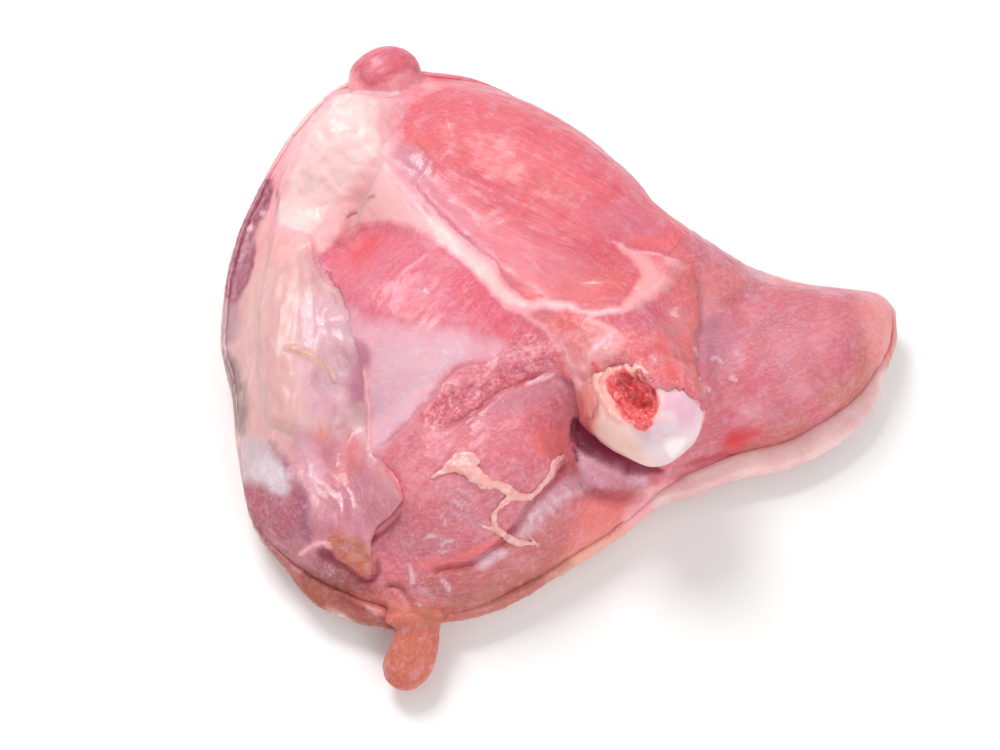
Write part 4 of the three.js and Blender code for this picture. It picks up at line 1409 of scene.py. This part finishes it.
def stains(canvas, tones):
    """Blood, tints, dried rims, painted shade in grooves and creases, and painted highlights: glints and
    sheen on the wet film.
    """
    # Mauve in the groove by the sheet's edge, partly painted shade.
    canvas.patch(MAUVE_GAP, edge=6, mauve=0.9, silver=0.1, deep=0.15)
    canvas.line(PALE_CORD, 3.2, lift=0.4, fat=0.85, silver=0.4, shine=0.5)
    canvas.patch(SHEET_ORANGE, edge=9, fat=0.75, peach=0.4, salmon=0.25)
    canvas.lines(BROWN_NICKS, 1.6, lift=-0.3, brown=0.9)
    canvas.patch(SALMON_BLUR, edge=10, salmon=0.55, shine=0.8)
    canvas.line(RED_RIM, 5, salmon=0.5)
    canvas.line(OUTER_BACK, 16, mauve=0.2)
    canvas.patch(OUTER_MAUVE, edge=12, mauve=0.3)
    canvas.patch(OUTER_RED, edge=16, salmon=0.22)
    canvas.patch(OUTER_RED_LOW, edge=12, salmon=0.12)
    canvas.patch(OUTER_OLIVE, edge=12, brown=0.25)
    canvas.patch(OUTER_ORANGE, edge=10, salmon=0.5)
    canvas.patch(KNEE_PALE, edge=10, fat=0.5, salmon=0, rough=0)
    canvas.patch(ROUGH_RED, edge=6, deep=0.3)
    # Lavender tint with painted sheen along the lower muscle's ridge.
    canvas.patch(LOWER_LAVENDER, edge=8, mauve=0.3, silver=0.15, shine=0.35)
    canvas.patch(LOWER_SALMON, edge=10, salmon=0.6)
    # Painted highlights: glint specks gather in these wet patches.
    for outline in WET_GLINT_PATCHES:
        canvas.patch(outline, edge=10, shine=0.9, silver=0.12)
    # Silver skin with painted sheen.
    canvas.patch(FRONT_SILVER, edge=8, mauve=0.4, silver=0.55, shine=0.8)
    # Wrinkles in relief with painted highlights along them.
    canvas.lines(FRONT_WRINKLE_GLINTS, 1.8, lift=0.45, silver=0.8, fat=0.4, shine=1, taper=0.4)
    # Painted highlights: glint spots on the wet film.
    canvas.knobs(WET_GLINT_SPOTS, lift=0.2, silver=0.9, fat=0.4, shine=1)
    # Painted highlight on the front band's wet film.
    canvas.patch(FRONT_WET_GLINTS, edge=4, silver=0.7, fat=0.2, shine=1)
    canvas.patch(FRONT_ORANGE, edge=12, colour=tones.orange, salmon=0.25)
    canvas.line(FRONT_PALE, 11, colour=tones.orange_rim, salmon=0, taper=0.3)
    canvas.patch(PALE_END, edge=8, lift=0.3, crown=6, fat=0.7, salmon=0.1, rough=0)
    canvas.patch(LOW_ORANGE, edge=4, salmon=0.6, peach=0.3)
    canvas.line(WEDGE_BACK, 10, mauve=0.3)
    canvas.line(WEDGE_STREAK, 4, salmon=0.8)
    # Dark red line where the meat meets the skin, partly painted shade in the crease.
    canvas.line(SKIN_EDGE_LINE, 3, salmon=0.4, deep=0.25)
    canvas.line(BROWN_WEDGE, 6, brown=0.6, salmon=0.2)
    canvas.patch(BROWN_FRONT, edge=12, brown=0.65)
    canvas.patch(BROWN_LEFT, edge=7, brown=0.65)
    canvas.patch(BLOOD_MIDDLE, edge=10, blood=0.45, salmon=0.4)
    canvas.patch(BLOOD_WEDGE, edge=9, blood=0.95)
    # Painted highlights: glints of wet film.
    canvas.lines(OUTER_GLINTS, 2.4, lift=0.12, fat=0.45, shine=0.3)
    canvas.lines(LOWER_GLINTS, 2.2, lift=0.3, shine=0.8, silver=0.8)


def paint_flesh(canvas, chosen):
    """All that the photograph shows on the flesh."""
    muscle_regions(canvas, chosen.muscle)
    muscle_forms(canvas, chosen.muscle)
    left_side(canvas, chosen.sheet)
    seams_and_tendons(canvas)
    hip_tissues(canvas, chosen.muscle)
    stains(canvas, chosen.muscle)


def muscle_relief(canvas, settings):
    """The muscles' unevenness, fibre bundles and torn lumps."""
    masks = canvas.masks
    smooth = 1 - 0.7 * masks["silver"] - 0.3 * masks["fat"]
    swell = noise(canvas.place, 13, 3) + 0.5 * noise(canvas.place, 6, 4)
    canvas.height += settings.swell / MM * swell * smooth
    canvas.grain[:, 1] += 1.2 * noise(canvas.place, 14, 5)
    bundles = noise(canvas.grain, 2.6, 6) + 0.6 * noise(canvas.grain, 1.4, 7)
    canvas.height += settings.fibre / MM * bundles * smooth * (1 - canvas.seams())
    lumps = noise(canvas.place, 2.4, 8, 2)
    canvas.height += settings.torn / MM * lumps * (0.12 + masks["rough"] ** 2)
    hidden = 1 - ramp(canvas.facing, 0, 0.4)
    film = ramp(noise(canvas.place, 16, 9, 2), 0.1, 0.7) * hidden
    masks["silver"] = np.maximum(masks["silver"], 0.6 * film)
    streaks = ramp(noise(canvas.grain, 5, 10, 2), 0.35, 0.8) * hidden
    masks["fat"] = np.maximum(masks["fat"], 0.8 * streaks)


def flesh_surface(look, tones):
    """Muscle with its fat, silver skin, tendon, film, blood and dried rim, with painted shade and painted
    highlights: its colour and relief.
    """
    grain = look.grain()
    place = look.place()
    fat, silver, film, rough = (look.mask(name) for name in ("fat", "silver", "film", "rough"))
    bare = 1 - fat.or_more(silver).or_more(film)
    fibrous = bare * (1 - look.mask("seam"))
    bundles = look.noise(grain, 1.5, detail=3, roughness=0.6)
    threads = look.noise(grain, 0.6, detail=2)
    dashes = look.noise(look.squeezed(grain, 3.2, 0.9, 0.9), 1, detail=3, roughness=0.6, distortion=0.2)
    flecks = look.noise(place, 1.1, detail=3, roughness=0.6)
    folds = look.noise(look.squeezed(place, 1, 0.4, 1), 4.5, detail=4, roughness=0.55, distortion=1.2)
    speckle = look.noise(place, 0.7, detail=3, roughness=0.65)
    blotch = look.noise(place, 3.2, detail=3, roughness=0.6)
    cloud = look.noise(place, 9, detail=3)
    ragged = look.noise(place, 1.8, detail=4, roughness=0.65)
    base = look.layers(
        look.colour("flesh"),
        (tones.lavender, blotch, 0.5, 0.7, 0.3),
        (tones.salmon, blotch, 0.46, 0.3, bare * 0.14),
        (tones.blood, cloud, 0.5, 0.8, bare * 0.12),
        (tones.streak, cloud, 0.48, 0.3, bare * (0.08 + rough * 0.8)),
        (tones.deep, bundles, 0.5, 0.8, fibrous * 0.35),
        (tones.streak, threads, 0.5, 0.75, fibrous * 0.22),
        (tones.streak, dashes, 0.5, 0.7, fibrous * (0.1 + rough * 0.2)),
        (tones.deep, dashes, 0.47, 0.3, fibrous * (0.06 + rough * 0.2)),
        (tones.streak, flecks, 0.52, 0.64, bare * (0.05 + rough * 0.65)),
        (tones.deep, flecks, 0.46, 0.34, bare * (0.04 + rough * 0.42)),
        (tones.streak, speckle, 0.6, 0.75, bare * 0.18),
        (tones.fat, folds, 0.5, 0.68, film * 0.3),
        (tones.mauve, folds, 0.47, 0.3, film * 0.24))
    base = look.mix(base, tones.mauve, look.mask("mauve"))
    base = look.mix(base, tones.salmon, look.mask("salmon") * look.ramp(ragged, 0.3, 0.65, 0.35, 1))
    silvery = look.layers(
        tones.silver, (tones.fat_pale, ragged, 0.5, 0.72, 0.5), (tones.fat_pink, blotch, 0.48, 0.66, 0.5))
    base = tissue(look, base, silver, silvery, cloud, 0.45)
    tendon = look.layers(
        tones.peach, (tones.fat_pink, ragged, 0.42, 0.6, 1), (tones.salmon, blotch, 0.45, 0.3, 0.6))
    base = tissue(look, base, look.mask("peach"), tendon, ragged, 0.45)
    fatty = look.layers(
        tones.fat,
        (tones.fat_pale, blotch, 0.44, 0.7, 0.5),
        (tones.fat_pink, cloud, 0.5, 0.7, 0.3),
        (tones.peach, cloud, 0.46, 0.3, 0.25))
    fatty = look.mix(tones.fat_pink, fatty, look.ramp(fat, 0.65, 0.95))
    base = tissue(look, base, fat, fatty, ragged, 0.35)
    base = look.mix(base, tones.brown, look.mask("brown") * look.ramp(blotch, 0.25, 0.6))
    # Painted highlights: pale glint specks laid in the colour where the shine mask is high.
    glints = look.ramp(speckle, 0.5, 0.68) * look.mask("shine")
    base = look.mix(base, tones.painted_glint, glints * 0.4)
    # Blood and the deep fibre colour, then painted shade in creases and painted shadow in the pocket.
    for name in ("blood", "deep", "dark", "shade"):
        base = look.mix(base, getattr(tones, name), look.mask(name))
    height = bundles * fibrous * 0.5 + threads * fibrous * 0.3 + dashes * fibrous * 0.35
    height = height + flecks * bare * rough * 1.3 + speckle * (0.15 + rough * 0.5)
    height = height + blotch * fat * 0.45 + folds * film * 0.6 + glints * 0.4
    return base, height


def flesh_look(name, tones, wet):
    """Wet muscle, fat and gristle."""
    look = Look(name)
    base, height = flesh_surface(look, tones)
    shine = look.mask("shine")
    normal = look.bump(height, strength=0.85, distance=0.42 * MM)
    damp = look.ramp(look.noise(look.place(), 4, detail=4, roughness=0.6), 0.35, 0.65)
    roughness = 0.5 - damp * 0.12 - shine * 0.18
    coat = (wet * (0.15 + damp * 0.5) + shine * 0.45) * (1 - look.mask("shade"))
    return look.shade(
        base, roughness, coat, normal, coat_roughness=0.16, subsurface_weight=0.5,
        subsurface_radius=(1, 0.32, 0.24), subsurface_scale=2.2 * MM, ior=1.42, specular_ior_level=0.5)


# The other pieces' looks


def bone_look(settings, tones):
    """Gristle, white cartilage, the tissue on it and the open marrow, with painted shade in the marrow's
    pits and sunken middle.
    """
    look = Look("wet cartilage and marrow")
    place = look.place()
    sponge = look.noise(place, 1.3, detail=4, roughness=0.62)
    mottle = look.noise(place, 2.6, detail=4, roughness=0.6)
    speckle = look.noise(place, 0.7, detail=3, roughness=0.65)
    blood = look.mask("blood")
    rough = look.mask("rough")
    base = look.layers(
        look.colour("flesh"),
        (tones.fat_pale, mottle, 0.5, 0.68, 0.25 + rough * 0.35),
        (tones.salmon, mottle, 0.46, 0.3, 0.14 + rough * 0.5),
        (tones.blood, speckle, 0.46, 0.32, rough * 0.4))
    red = look.layers(
        settings.marrow_deep,
        (settings.marrow, sponge, 0.28, 0.52, 1),
        (settings.rim, sponge, 0.55, 0.7, 0.5))
    edge = blood + (mottle - 0.5) * 1.1
    base = look.mix(base, red, look.ramp(edge, 0.3, 0.65))
    # Painted shade in the pits and the sunken middle, in deep marrow red.
    base = look.mix(base, settings.marrow_deep, look.mask("dark"))
    height = sponge * (0.12 + blood * 0.6) + speckle * rough
    normal = look.bump(height, strength=0.85, distance=0.5 * MM)
    roughness = 0.3 + look.ramp(mottle, 0.3, 0.7) * 0.12 + blood * 0.08 + rough * 0.1
    coat = 0.35 + look.mask("shine") * 0.6
    return look.shade(
        base, roughness, coat, normal, coat_roughness=0.1, subsurface_weight=0.4,
        subsurface_radius=(1, 0.6, 0.5), subsurface_scale=1.4 * MM, ior=1.45)


def skin_look(settings, tones):
    """Raw skin with feather pores, pink and fatty parts, and flesh at its rim."""
    look = Look("raw skin")
    flesh, flesh_height = flesh_surface(look, tones)
    place = look.place()
    cloud = look.noise(place, 12, detail=4, roughness=0.6)
    blotch = look.noise(place, 3.2, detail=4, roughness=0.6)
    fine = look.noise(place, 1.1, detail=4, roughness=0.65)
    pores = look.mask("pores")
    rim = look.mask("rim")
    base = look.layers(
        settings.base, (settings.pink, cloud, 0.4, 0.65, 0.7), (settings.yellow, cloud, 0.45, 0.2, 0.7))
    base = look.mix(base, settings.yellow, pores * 0.45)
    base = look.layers(base, (tones.streak, blotch, 0.5, 0.7, 0.3), (tones.deep, fine, 0.55, 0.75, 0.16))
    base = look.mix(base, flesh, rim)
    height = (fine * 0.5 + blotch * 0.6 + pores * 0.8) * (1 - rim) + flesh_height * rim
    normal = look.bump(height, strength=0.7, distance=0.4 * MM)
    roughness = 0.5 - look.ramp(cloud, 0.35, 0.65) * 0.12
    return look.shade(
        base, roughness, 0.2 + look.ramp(fine, 0.4, 0.6) * 0.25, normal, coat_roughness=0.2,
        subsurface_weight=0.4, subsurface_radius=(1, 0.45, 0.35), subsurface_scale=2 * MM, ior=1.42)


def strand_look(settings, tones):
    """Moist loose fat."""
    look = Look("loose fat")
    place = look.place()
    mottle = look.noise(place, 1.6, detail=4, roughness=0.6)
    base = look.layers(
        settings.base, (settings.pale, mottle, 0.45, 0.7, 1), (tones.salmon, mottle, 0.42, 0.25, 0.35))
    normal = look.bump(mottle, strength=0.6, distance=0.35 * MM)
    roughness = 0.34 + look.ramp(mottle, 0.3, 0.7) * 0.1
    return look.shade(
        base, roughness, 0.5 + look.ramp(mottle, 0.4, 0.6) * 0.2, normal, coat_roughness=0.12,
        subsurface_weight=0.5, subsurface_radius=(1, 0.5, 0.4), subsurface_scale=1.4 * MM, ior=1.42)


# The operators and what they share


def thigh_settings():
    """The scene's thigh settings."""
    return bpy.context.scene.turkey_thigh


def dressed(piece, look, node):
    """Gives a piece its material and lets it stand for its CAD node."""
    piece.data.materials.append(look)
    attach(piece, "root")
    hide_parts(node)


def laps(outline, pieces, step, half, flat):
    """Flattened balls side by side that lap tissue over the pieces inside an outline of the photograph."""
    curve = smooth_path(outline, closed=True)
    low = curve.min(axis=0)
    high = curve.max(axis=0)
    across, down = np.meshgrid(np.arange(low[0], high[0], step), np.arange(low[1], high[1], step))
    spots = np.stack([across.ravel(), down.ravel()], axis=1)
    depth = depth_inside(spots, curve)
    seen = seen_surface(pieces)
    balls = []
    for (x, y), inside in zip(spots[depth > 0], depth[depth > 0]):
        spot, normal = seen(x, y)
        rise = min(1, inside / (2.5 * step))
        balls.append((spot, normal, half, flat * (0.3 + 0.7 * rise)))
    return balls


class THIGH_OT_meat(bpy.types.Operator):
    """Makes the muscles with their seams of fat, silver skin and tendon"""

    bl_idname = "thigh.meat"
    bl_label = "Meat"

    def execute(self, context):
        chosen = thigh_settings()
        solids = [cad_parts["meat"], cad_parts["femur"]]
        over_bone = laps(HIP_LAP, solids, step=5, half=2.4 * MM, flat=1.1 * MM)
        over_bone += laps(HIP_LOBE, solids, step=4, half=2 * MM, flat=1 * MM)
        piece = fine_piece("meat_muscles", "meat", chosen.meat.grain, extra=over_bone)
        canvas = Canvas(piece, chosen.muscle.inside)
        paint_flesh(canvas, chosen)
        muscle_relief(canvas, chosen.meat)
        canvas.finish([*MASKS, "seam"])
        dressed(piece, flesh_look("wet muscle", chosen.tissue, chosen.meat.wet), "meat")
        return {"FINISHED"}


class THIGH_OT_bone(bpy.types.Operator):
    """Makes the thigh bone with its open hip end"""

    bl_idname = "thigh.bone"
    bl_label = "Thigh bone"

    def execute(self, context):
        chosen = thigh_settings()
        bone = chosen.bone
        seen = seen_surface([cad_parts["femur"]])
        spot, normal = seen(*CRATER_MIDDLE)
        plug = [(spot, normal, PLUG_HALF, bone.fill)]
        piece = fine_piece("thigh_bone", "femur", bone.grain, rounds=5, extra=plug)
        canvas = Canvas(piece, bone.cartilage, wobble=1.6, seed=20)
        canvas.height += bone.swell / MM
        canvas.patch(KNUCKLE_WHITE, edge=8, colour=bone.white, shine=0.6)
        canvas.patch(KNUCKLE_LILAC, edge=12, colour=bone.lilac)
        canvas.patch(KNUCKLE_CREAM, edge=10, colour=bone.cream)
        # Grey patch beside the highlight: partly painted shade on the cartilage.
        canvas.patch(KNUCKLE_GREY, edge=10, colour=bone.grey)
        canvas.patch(KNUCKLE_TAN, edge=6, colour=bone.tan, rough=0.7)
        canvas.patch(KNUCKLE_TISSUE, edge=5, colour=bone.tissue, rough=1)
        canvas.trim(KNUCKLE_OUTLINE, reach=22)
        canvas.patch(CRATER, edge=4, colour=bone.rim, blood=0.35, rough=0.4)
        canvas.line(CRATER_RIM, 3.5, lift=0.5, colour=bone.rim, rough=0.3)
        canvas.patch(MARROW, edge=5, blood=1, rough=0)
        # Darker deep red in the sunken middle of the marrow, partly painted shade.
        canvas.patch(MARROW_HEART, edge=5, lift=-0.8, dark=0.9)
        canvas.lines(CRATER_RAGS, 1.6, lift=0.25, colour=bone.rim, blood=0.3)
        # Painted highlight on the wet cartilage.
        canvas.patch(KNUCKLE_HIGHLIGHT, edge=4, lift=0.2, colour=bone.painted_highlight, shine=1)
        sponge = noise(canvas.place, 1.9, 21, 2)
        open_bone = canvas.masks["blood"]
        canvas.height += bone.pits / MM * sponge * open_bone
        # Painted shade in the marrow's pits: darker where the spongy relief sinks.
        canvas.masks["dark"] += ramp(-sponge, 0.2, 0.8) * open_bone * 0.3
        canvas.height += bone.lumps / MM * noise(canvas.place, 7, 22, 2)
        canvas.height += bone.torn / MM * noise(canvas.place, 2.2, 23, 2) * canvas.masks["rough"]
        canvas.finish(MASKS)
        dressed(piece, bone_look(bone, chosen.tissue), "femur")
        return {"FINISHED"}


class THIGH_OT_skin(bpy.types.Operator):
    """Makes the skin with its pores and wrinkles"""

    bl_idname = "thigh.skin"
    bl_label = "Skin"

    def execute(self, context):
        settings = thigh_settings()
        chosen = settings.skin
        piece = fine_piece("skin_with_pores", "skin", chosen.grain, rounds=20, grow=0.5 * MM)
        canvas = Canvas(piece, settings.muscle.front)
        paint_flesh(canvas, settings)
        canvas.line(LOW_PALE, 3, colour=chosen.yellow, brown=0.1, taper=0.3)
        canvas.patch(SKIN_BACK, edge=8, rim=1)
        canvas.patch(SKIN_DRIED, edge=8, rim=1)
        smooth = 1 - 0.7 * canvas.masks["rim"]
        outer = ramp(-canvas.normals[:, 2], -0.2, 0.5)
        pores = pore_pattern(canvas.place, chosen.pores / MM) * outer * smooth
        canvas.masks["pores"] = pores
        wrinkles = noise(canvas.place * (1, 1, 2.2), 9, 31) + 0.4 * noise(canvas.place, 4, 32)
        relief = chosen.pore_rise * pores + chosen.wrinkle * wrinkles * (0.4 + 0.6 * outer) * smooth
        canvas.height = (chosen.swell + relief) / MM
        snug(canvas, bpy.data.objects["meat_muscles"], chosen.snug)
        canvas.finish([*MASKS, "seam", "pores", "rim"])
        dressed(piece, skin_look(chosen, settings.tissue), "skin")
        return {"FINISHED"}


def snug(canvas, flesh, reach):
    """Draws the skin's visible rim against the flesh, so that no gap shows between them."""
    below = BVHTree.FromObject(flesh, bpy.context.evaluated_depsgraph_get())
    pull = np.zeros_like(canvas.points)
    inner = np.zeros((len(pull), 1))
    for index, (point, normal) in enumerate(zip(canvas.points, canvas.normals)):
        spot, _, _, apart = below.find_nearest(point, reach)
        if spot is not None and (np.array(spot) - point) @ normal > TOWARDS_FLESH * apart:
            pull[index] = np.array(spot) - point
            inner[index] = 1
    spread = smoothed(canvas.piece.data, np.hstack([pull, inner]), [SMOOTHING] * SNUG_ROUNDS)
    pull = spread[:, :3] / np.maximum(spread[:, 3:], SNUG_NONE)
    canvas.points += pull * ramp(spread[:, 3:], SNUG_NONE, SNUG_FULL) * canvas.facing[:, None]


def pore_pattern(place, spacing):
    """1 in the middle of each feather pore's bump: an uneven grid in plan."""
    wander = np.stack([noise(place, 15, 33), noise(place, 15, 34)], axis=1)
    warped = place[:, :2] + PORE_WANDER * wander
    row_gap = spacing * math.sqrt(3) / 2
    rows = warped[:, 1] / row_gap
    best = np.zeros(len(place))
    for offset in (-1, 0, 1):
        row = np.round(rows) + offset
        column = np.round(warped[:, 0] / spacing - row % 2 * 0.5) + row % 2 * 0.5
        away = np.hypot(warped[:, 0] - column * spacing, (rows - row) * row_gap)
        best = np.maximum(best, np.exp(-(away / (PORE_SIZE * spacing)) ** 2))
    return best


class THIGH_OT_sheet(bpy.types.Operator):
    """Makes the sheet of gristle and fat over the left side"""

    bl_idname = "thigh.sheet"
    bl_label = "Gristle and fat"

    def execute(self, context):
        chosen = thigh_settings()
        sheet = chosen.sheet
        piece = fine_piece("gristle_sheet", "fascia", sheet.grain, grow=0.3 * MM)
        canvas = Canvas(piece, sheet.middle)
        canvas.facing[:] = 1
        muscle_regions(canvas, chosen.muscle)
        left_side(canvas, sheet)
        seams_and_tendons(canvas)
        stains(canvas, chosen.muscle)
        canvas.height *= 0.5
        fat = canvas.masks["fat"]
        lumps = noise(canvas.place, 5.5, 41) + 0.6 * noise(canvas.place, 2.6, 42)
        canvas.height += sheet.lumps / MM * lumps * (0.25 + 0.75 * fat)
        folds = noise(canvas.place * (1, 0.3, 1), 3.2, 43, 2)
        canvas.height += sheet.wrinkle / MM * folds * (1 - 0.6 * fat)
        canvas.trim(TONGUE_EDGE, reach=14)
        sink_edges(canvas, bpy.data.objects["meat_muscles"], sheet.feather)
        canvas.finish([*MASKS, "seam"])
        relaxed(piece.data, 3)
        dressed(piece, flesh_look("gristle and fat", chosen.tissue, chosen.meat.wet), "fascia")
        return {"FINISHED"}


def sink_edges(canvas, flesh, width):
    """Lets a sheet's edges run out into the flesh below it, apart from the free edge of its tongue."""
    below = BVHTree.FromObject(flesh, bpy.context.evaluated_depsgraph_get())
    points = canvas.points
    hits = [below.find_nearest(point)[:2] for point in points]
    spots = np.array([hit[0] for hit in hits])
    ups = np.array([hit[1] for hit in hits])
    facing = np.einsum("ij,ij->i", canvas.normals, ups)
    height = np.einsum("ij,ij->i", points - spots, ups)
    from_tongue, _, _ = path_distance(photo_spots(points), smooth_path(TONGUE_FREE))
    rim = np.flatnonzero((np.abs(facing) < 0.5) & (from_tongue > FREE_EDGE))
    tree = KDTree(len(rim))
    for number, index in enumerate(rim):
        tree.insert(points[index], number)
    tree.balance()
    apart = np.array([tree.find(point)[2] for point in points])
    torn = width * (1 + 0.5 * noise(points / MM, 7, 44, 2))
    sink = 1 - ramp(apart / torn, 0, 1)
    depth = np.where(facing < 0, SINK_UNDER, SINK_TOP)
    fall = -ups * (sink * (height + depth))[:, None]
    canvas.points = points + smoothed(canvas.piece.data, fall, [SMOOTHING] * SINK_ROUNDS)
    canvas.height *= 1 - sink


class THIGH_OT_strands(bpy.types.Operator):
    """Makes the loose strands of fat on the lower muscle"""

    bl_idname = "thigh.strands"
    bl_label = "Loose fat"

    def execute(self, context):
        chosen = thigh_settings()
        strand = chosen.strand
        seen = seen_surface([bpy.data.objects["meat_muscles"]])
        balls = []
        for stations in (LEAF, BRANCH, TWIG, ROOT_TWIG, RIM_TWIG):
            for x, y, width in smooth_path(stations, steps=9):
                spot, normal = seen(x, y)
                torn = 0.85 + 0.25 * noise(np.array([spot]) / MM, 1.8, 53)[0]
                half = width * torn * PIXEL * MM
                flat = half * strand.flat + 0.2 * MM
                balls.append((spot + normal * flat * 0.25, normal, half, flat))
        shape = bmesh.new()
        add_balls(shape, balls)
        mesh = bpy.data.meshes.new("fat_strands")
        shape.to_mesh(mesh)
        shape.free()
        piece = new_piece("fat_strands", mesh)
        remeshed(piece, strand.grain, 4)
        canvas = Canvas(piece, strand.base, wobble=0, seed=50)
        lumps = noise(canvas.place, 2.4, 51) + 2 / 3 * noise(canvas.place, 1, 52)
        canvas.height += strand.lumps / MM * lumps
        canvas.finish([])
        dressed(piece, strand_look(strand, chosen.tissue), "fat_strand")
        return {"FINISHED"}


def area_light(name, place, size, power):
    """A square area light that faces the thigh."""
    light = bpy.data.lights.new(name, "AREA")
    light.shape = "SQUARE"
    light.size = size
    light.energy = power
    lamp = bpy.data.objects.new(name, light)
    bpy.context.scene.collection.objects.link(lamp)
    lamp.location = place
    lamp.rotation_euler = (CAMERA_AIM - Vector(place)).to_track_quat("-Z", "Y").to_euler()


class THIGH_OT_stage(bpy.types.Operator):
    """Makes the floor, the lights and the camera"""

    bl_idname = "thigh.stage"
    bl_label = "Stage"

    def execute(self, context):
        stage = thigh_settings().stage
        half = stage.floor_size / 2
        mesh = bpy.data.meshes.new("floor")
        corners = [(-half, -half, 0), (half, -half, 0), (half, half, 0), (-half, half, 0)]
        mesh.from_pydata(corners, [], [(0, 1, 2, 3)])
        floor = new_piece("floor", mesh)
        look = Look("pale floor")
        haze = look.noise(look.place(), 400)
        colour = look.mix(stage.floor, stage.haze, haze)
        normal = look.bump(haze, strength=0.02, distance=0.1 * MM)
        floor.data.materials.append(look.shade(colour, roughness=0.6, coat=0, normal=normal))
        area_light("key", *KEY_LIGHT, stage.key)
        area_light("fill", *FILL_LIGHT, stage.fill)
        world = bpy.data.worlds.new("even light")
        world.use_nodes = True
        sky = world.node_tree.nodes["Background"]
        sky.inputs["Color"].default_value = (1, 1, 1, 1)
        sky.inputs["Strength"].default_value = stage.sky
        context.scene.world = world
        context.scene.view_settings.view_transform = "Standard"
        camera = bpy.data.objects.new("camera", bpy.data.cameras.new("camera"))
        camera.data.lens = LENS
        camera.data.sensor_width = SENSOR
        camera.location = EYE
        camera.rotation_euler = SIGHT.to_track_quat("-Z", "Y").to_euler()
        context.scene.collection.objects.link(camera)
        context.scene.camera = camera
        return {"FINISHED"}


class THIGH_PT_panel(bpy.types.Panel):
    """The steps that dress the thigh, and its settings"""

    bl_idname = "THIGH_PT_panel"
    bl_label = "Raw turkey thigh"
    bl_space_type = "VIEW_3D"
    bl_region_type = "UI"
    bl_category = "Thigh"

    def draw(self, context):
        column = self.layout.column()
        for step in STEPS:
            column.operator(step.bl_idname)
        chosen = thigh_settings()
        for group in (chosen.muscle, chosen.tissue, chosen.meat, chosen.bone, chosen.skin, chosen.sheet,
                      chosen.strand, chosen.stage):
            box = self.layout.box()
            for name in group.__annotations__:
                box.prop(group, name)


STEPS = (THIGH_OT_meat, THIGH_OT_bone, THIGH_OT_skin, THIGH_OT_sheet, THIGH_OT_strands, THIGH_OT_stage)
GROUPS = (MuscleTones, TissueTones, MeatSettings, BoneSettings, SkinSettings, SheetSettings, StrandSettings,
          StageSettings, ThighSettings)


def register():
    for group in (*GROUPS, *STEPS, THIGH_PT_panel):
        bpy.utils.register_class(group)
    bpy.types.Scene.turkey_thigh = bpy.props.PointerProperty(
        type=ThighSettings, name="Turkey thigh", description="Sizes and colours of the thigh")


def unregister():
    del bpy.types.Scene.turkey_thigh
    for group in (THIGH_PT_panel, *reversed(STEPS), *reversed(GROUPS)):
        bpy.utils.unregister_class(group)


def main():
    """Registers the add-on and dresses the thigh."""
    register()
    bpy.ops.thigh.meat()
    bpy.ops.thigh.bone()
    bpy.ops.thigh.skin()
    bpy.ops.thigh.sheet()
    bpy.ops.thigh.strands()
    bpy.ops.thigh.stage()


if __name__ == "__main__":
    main()
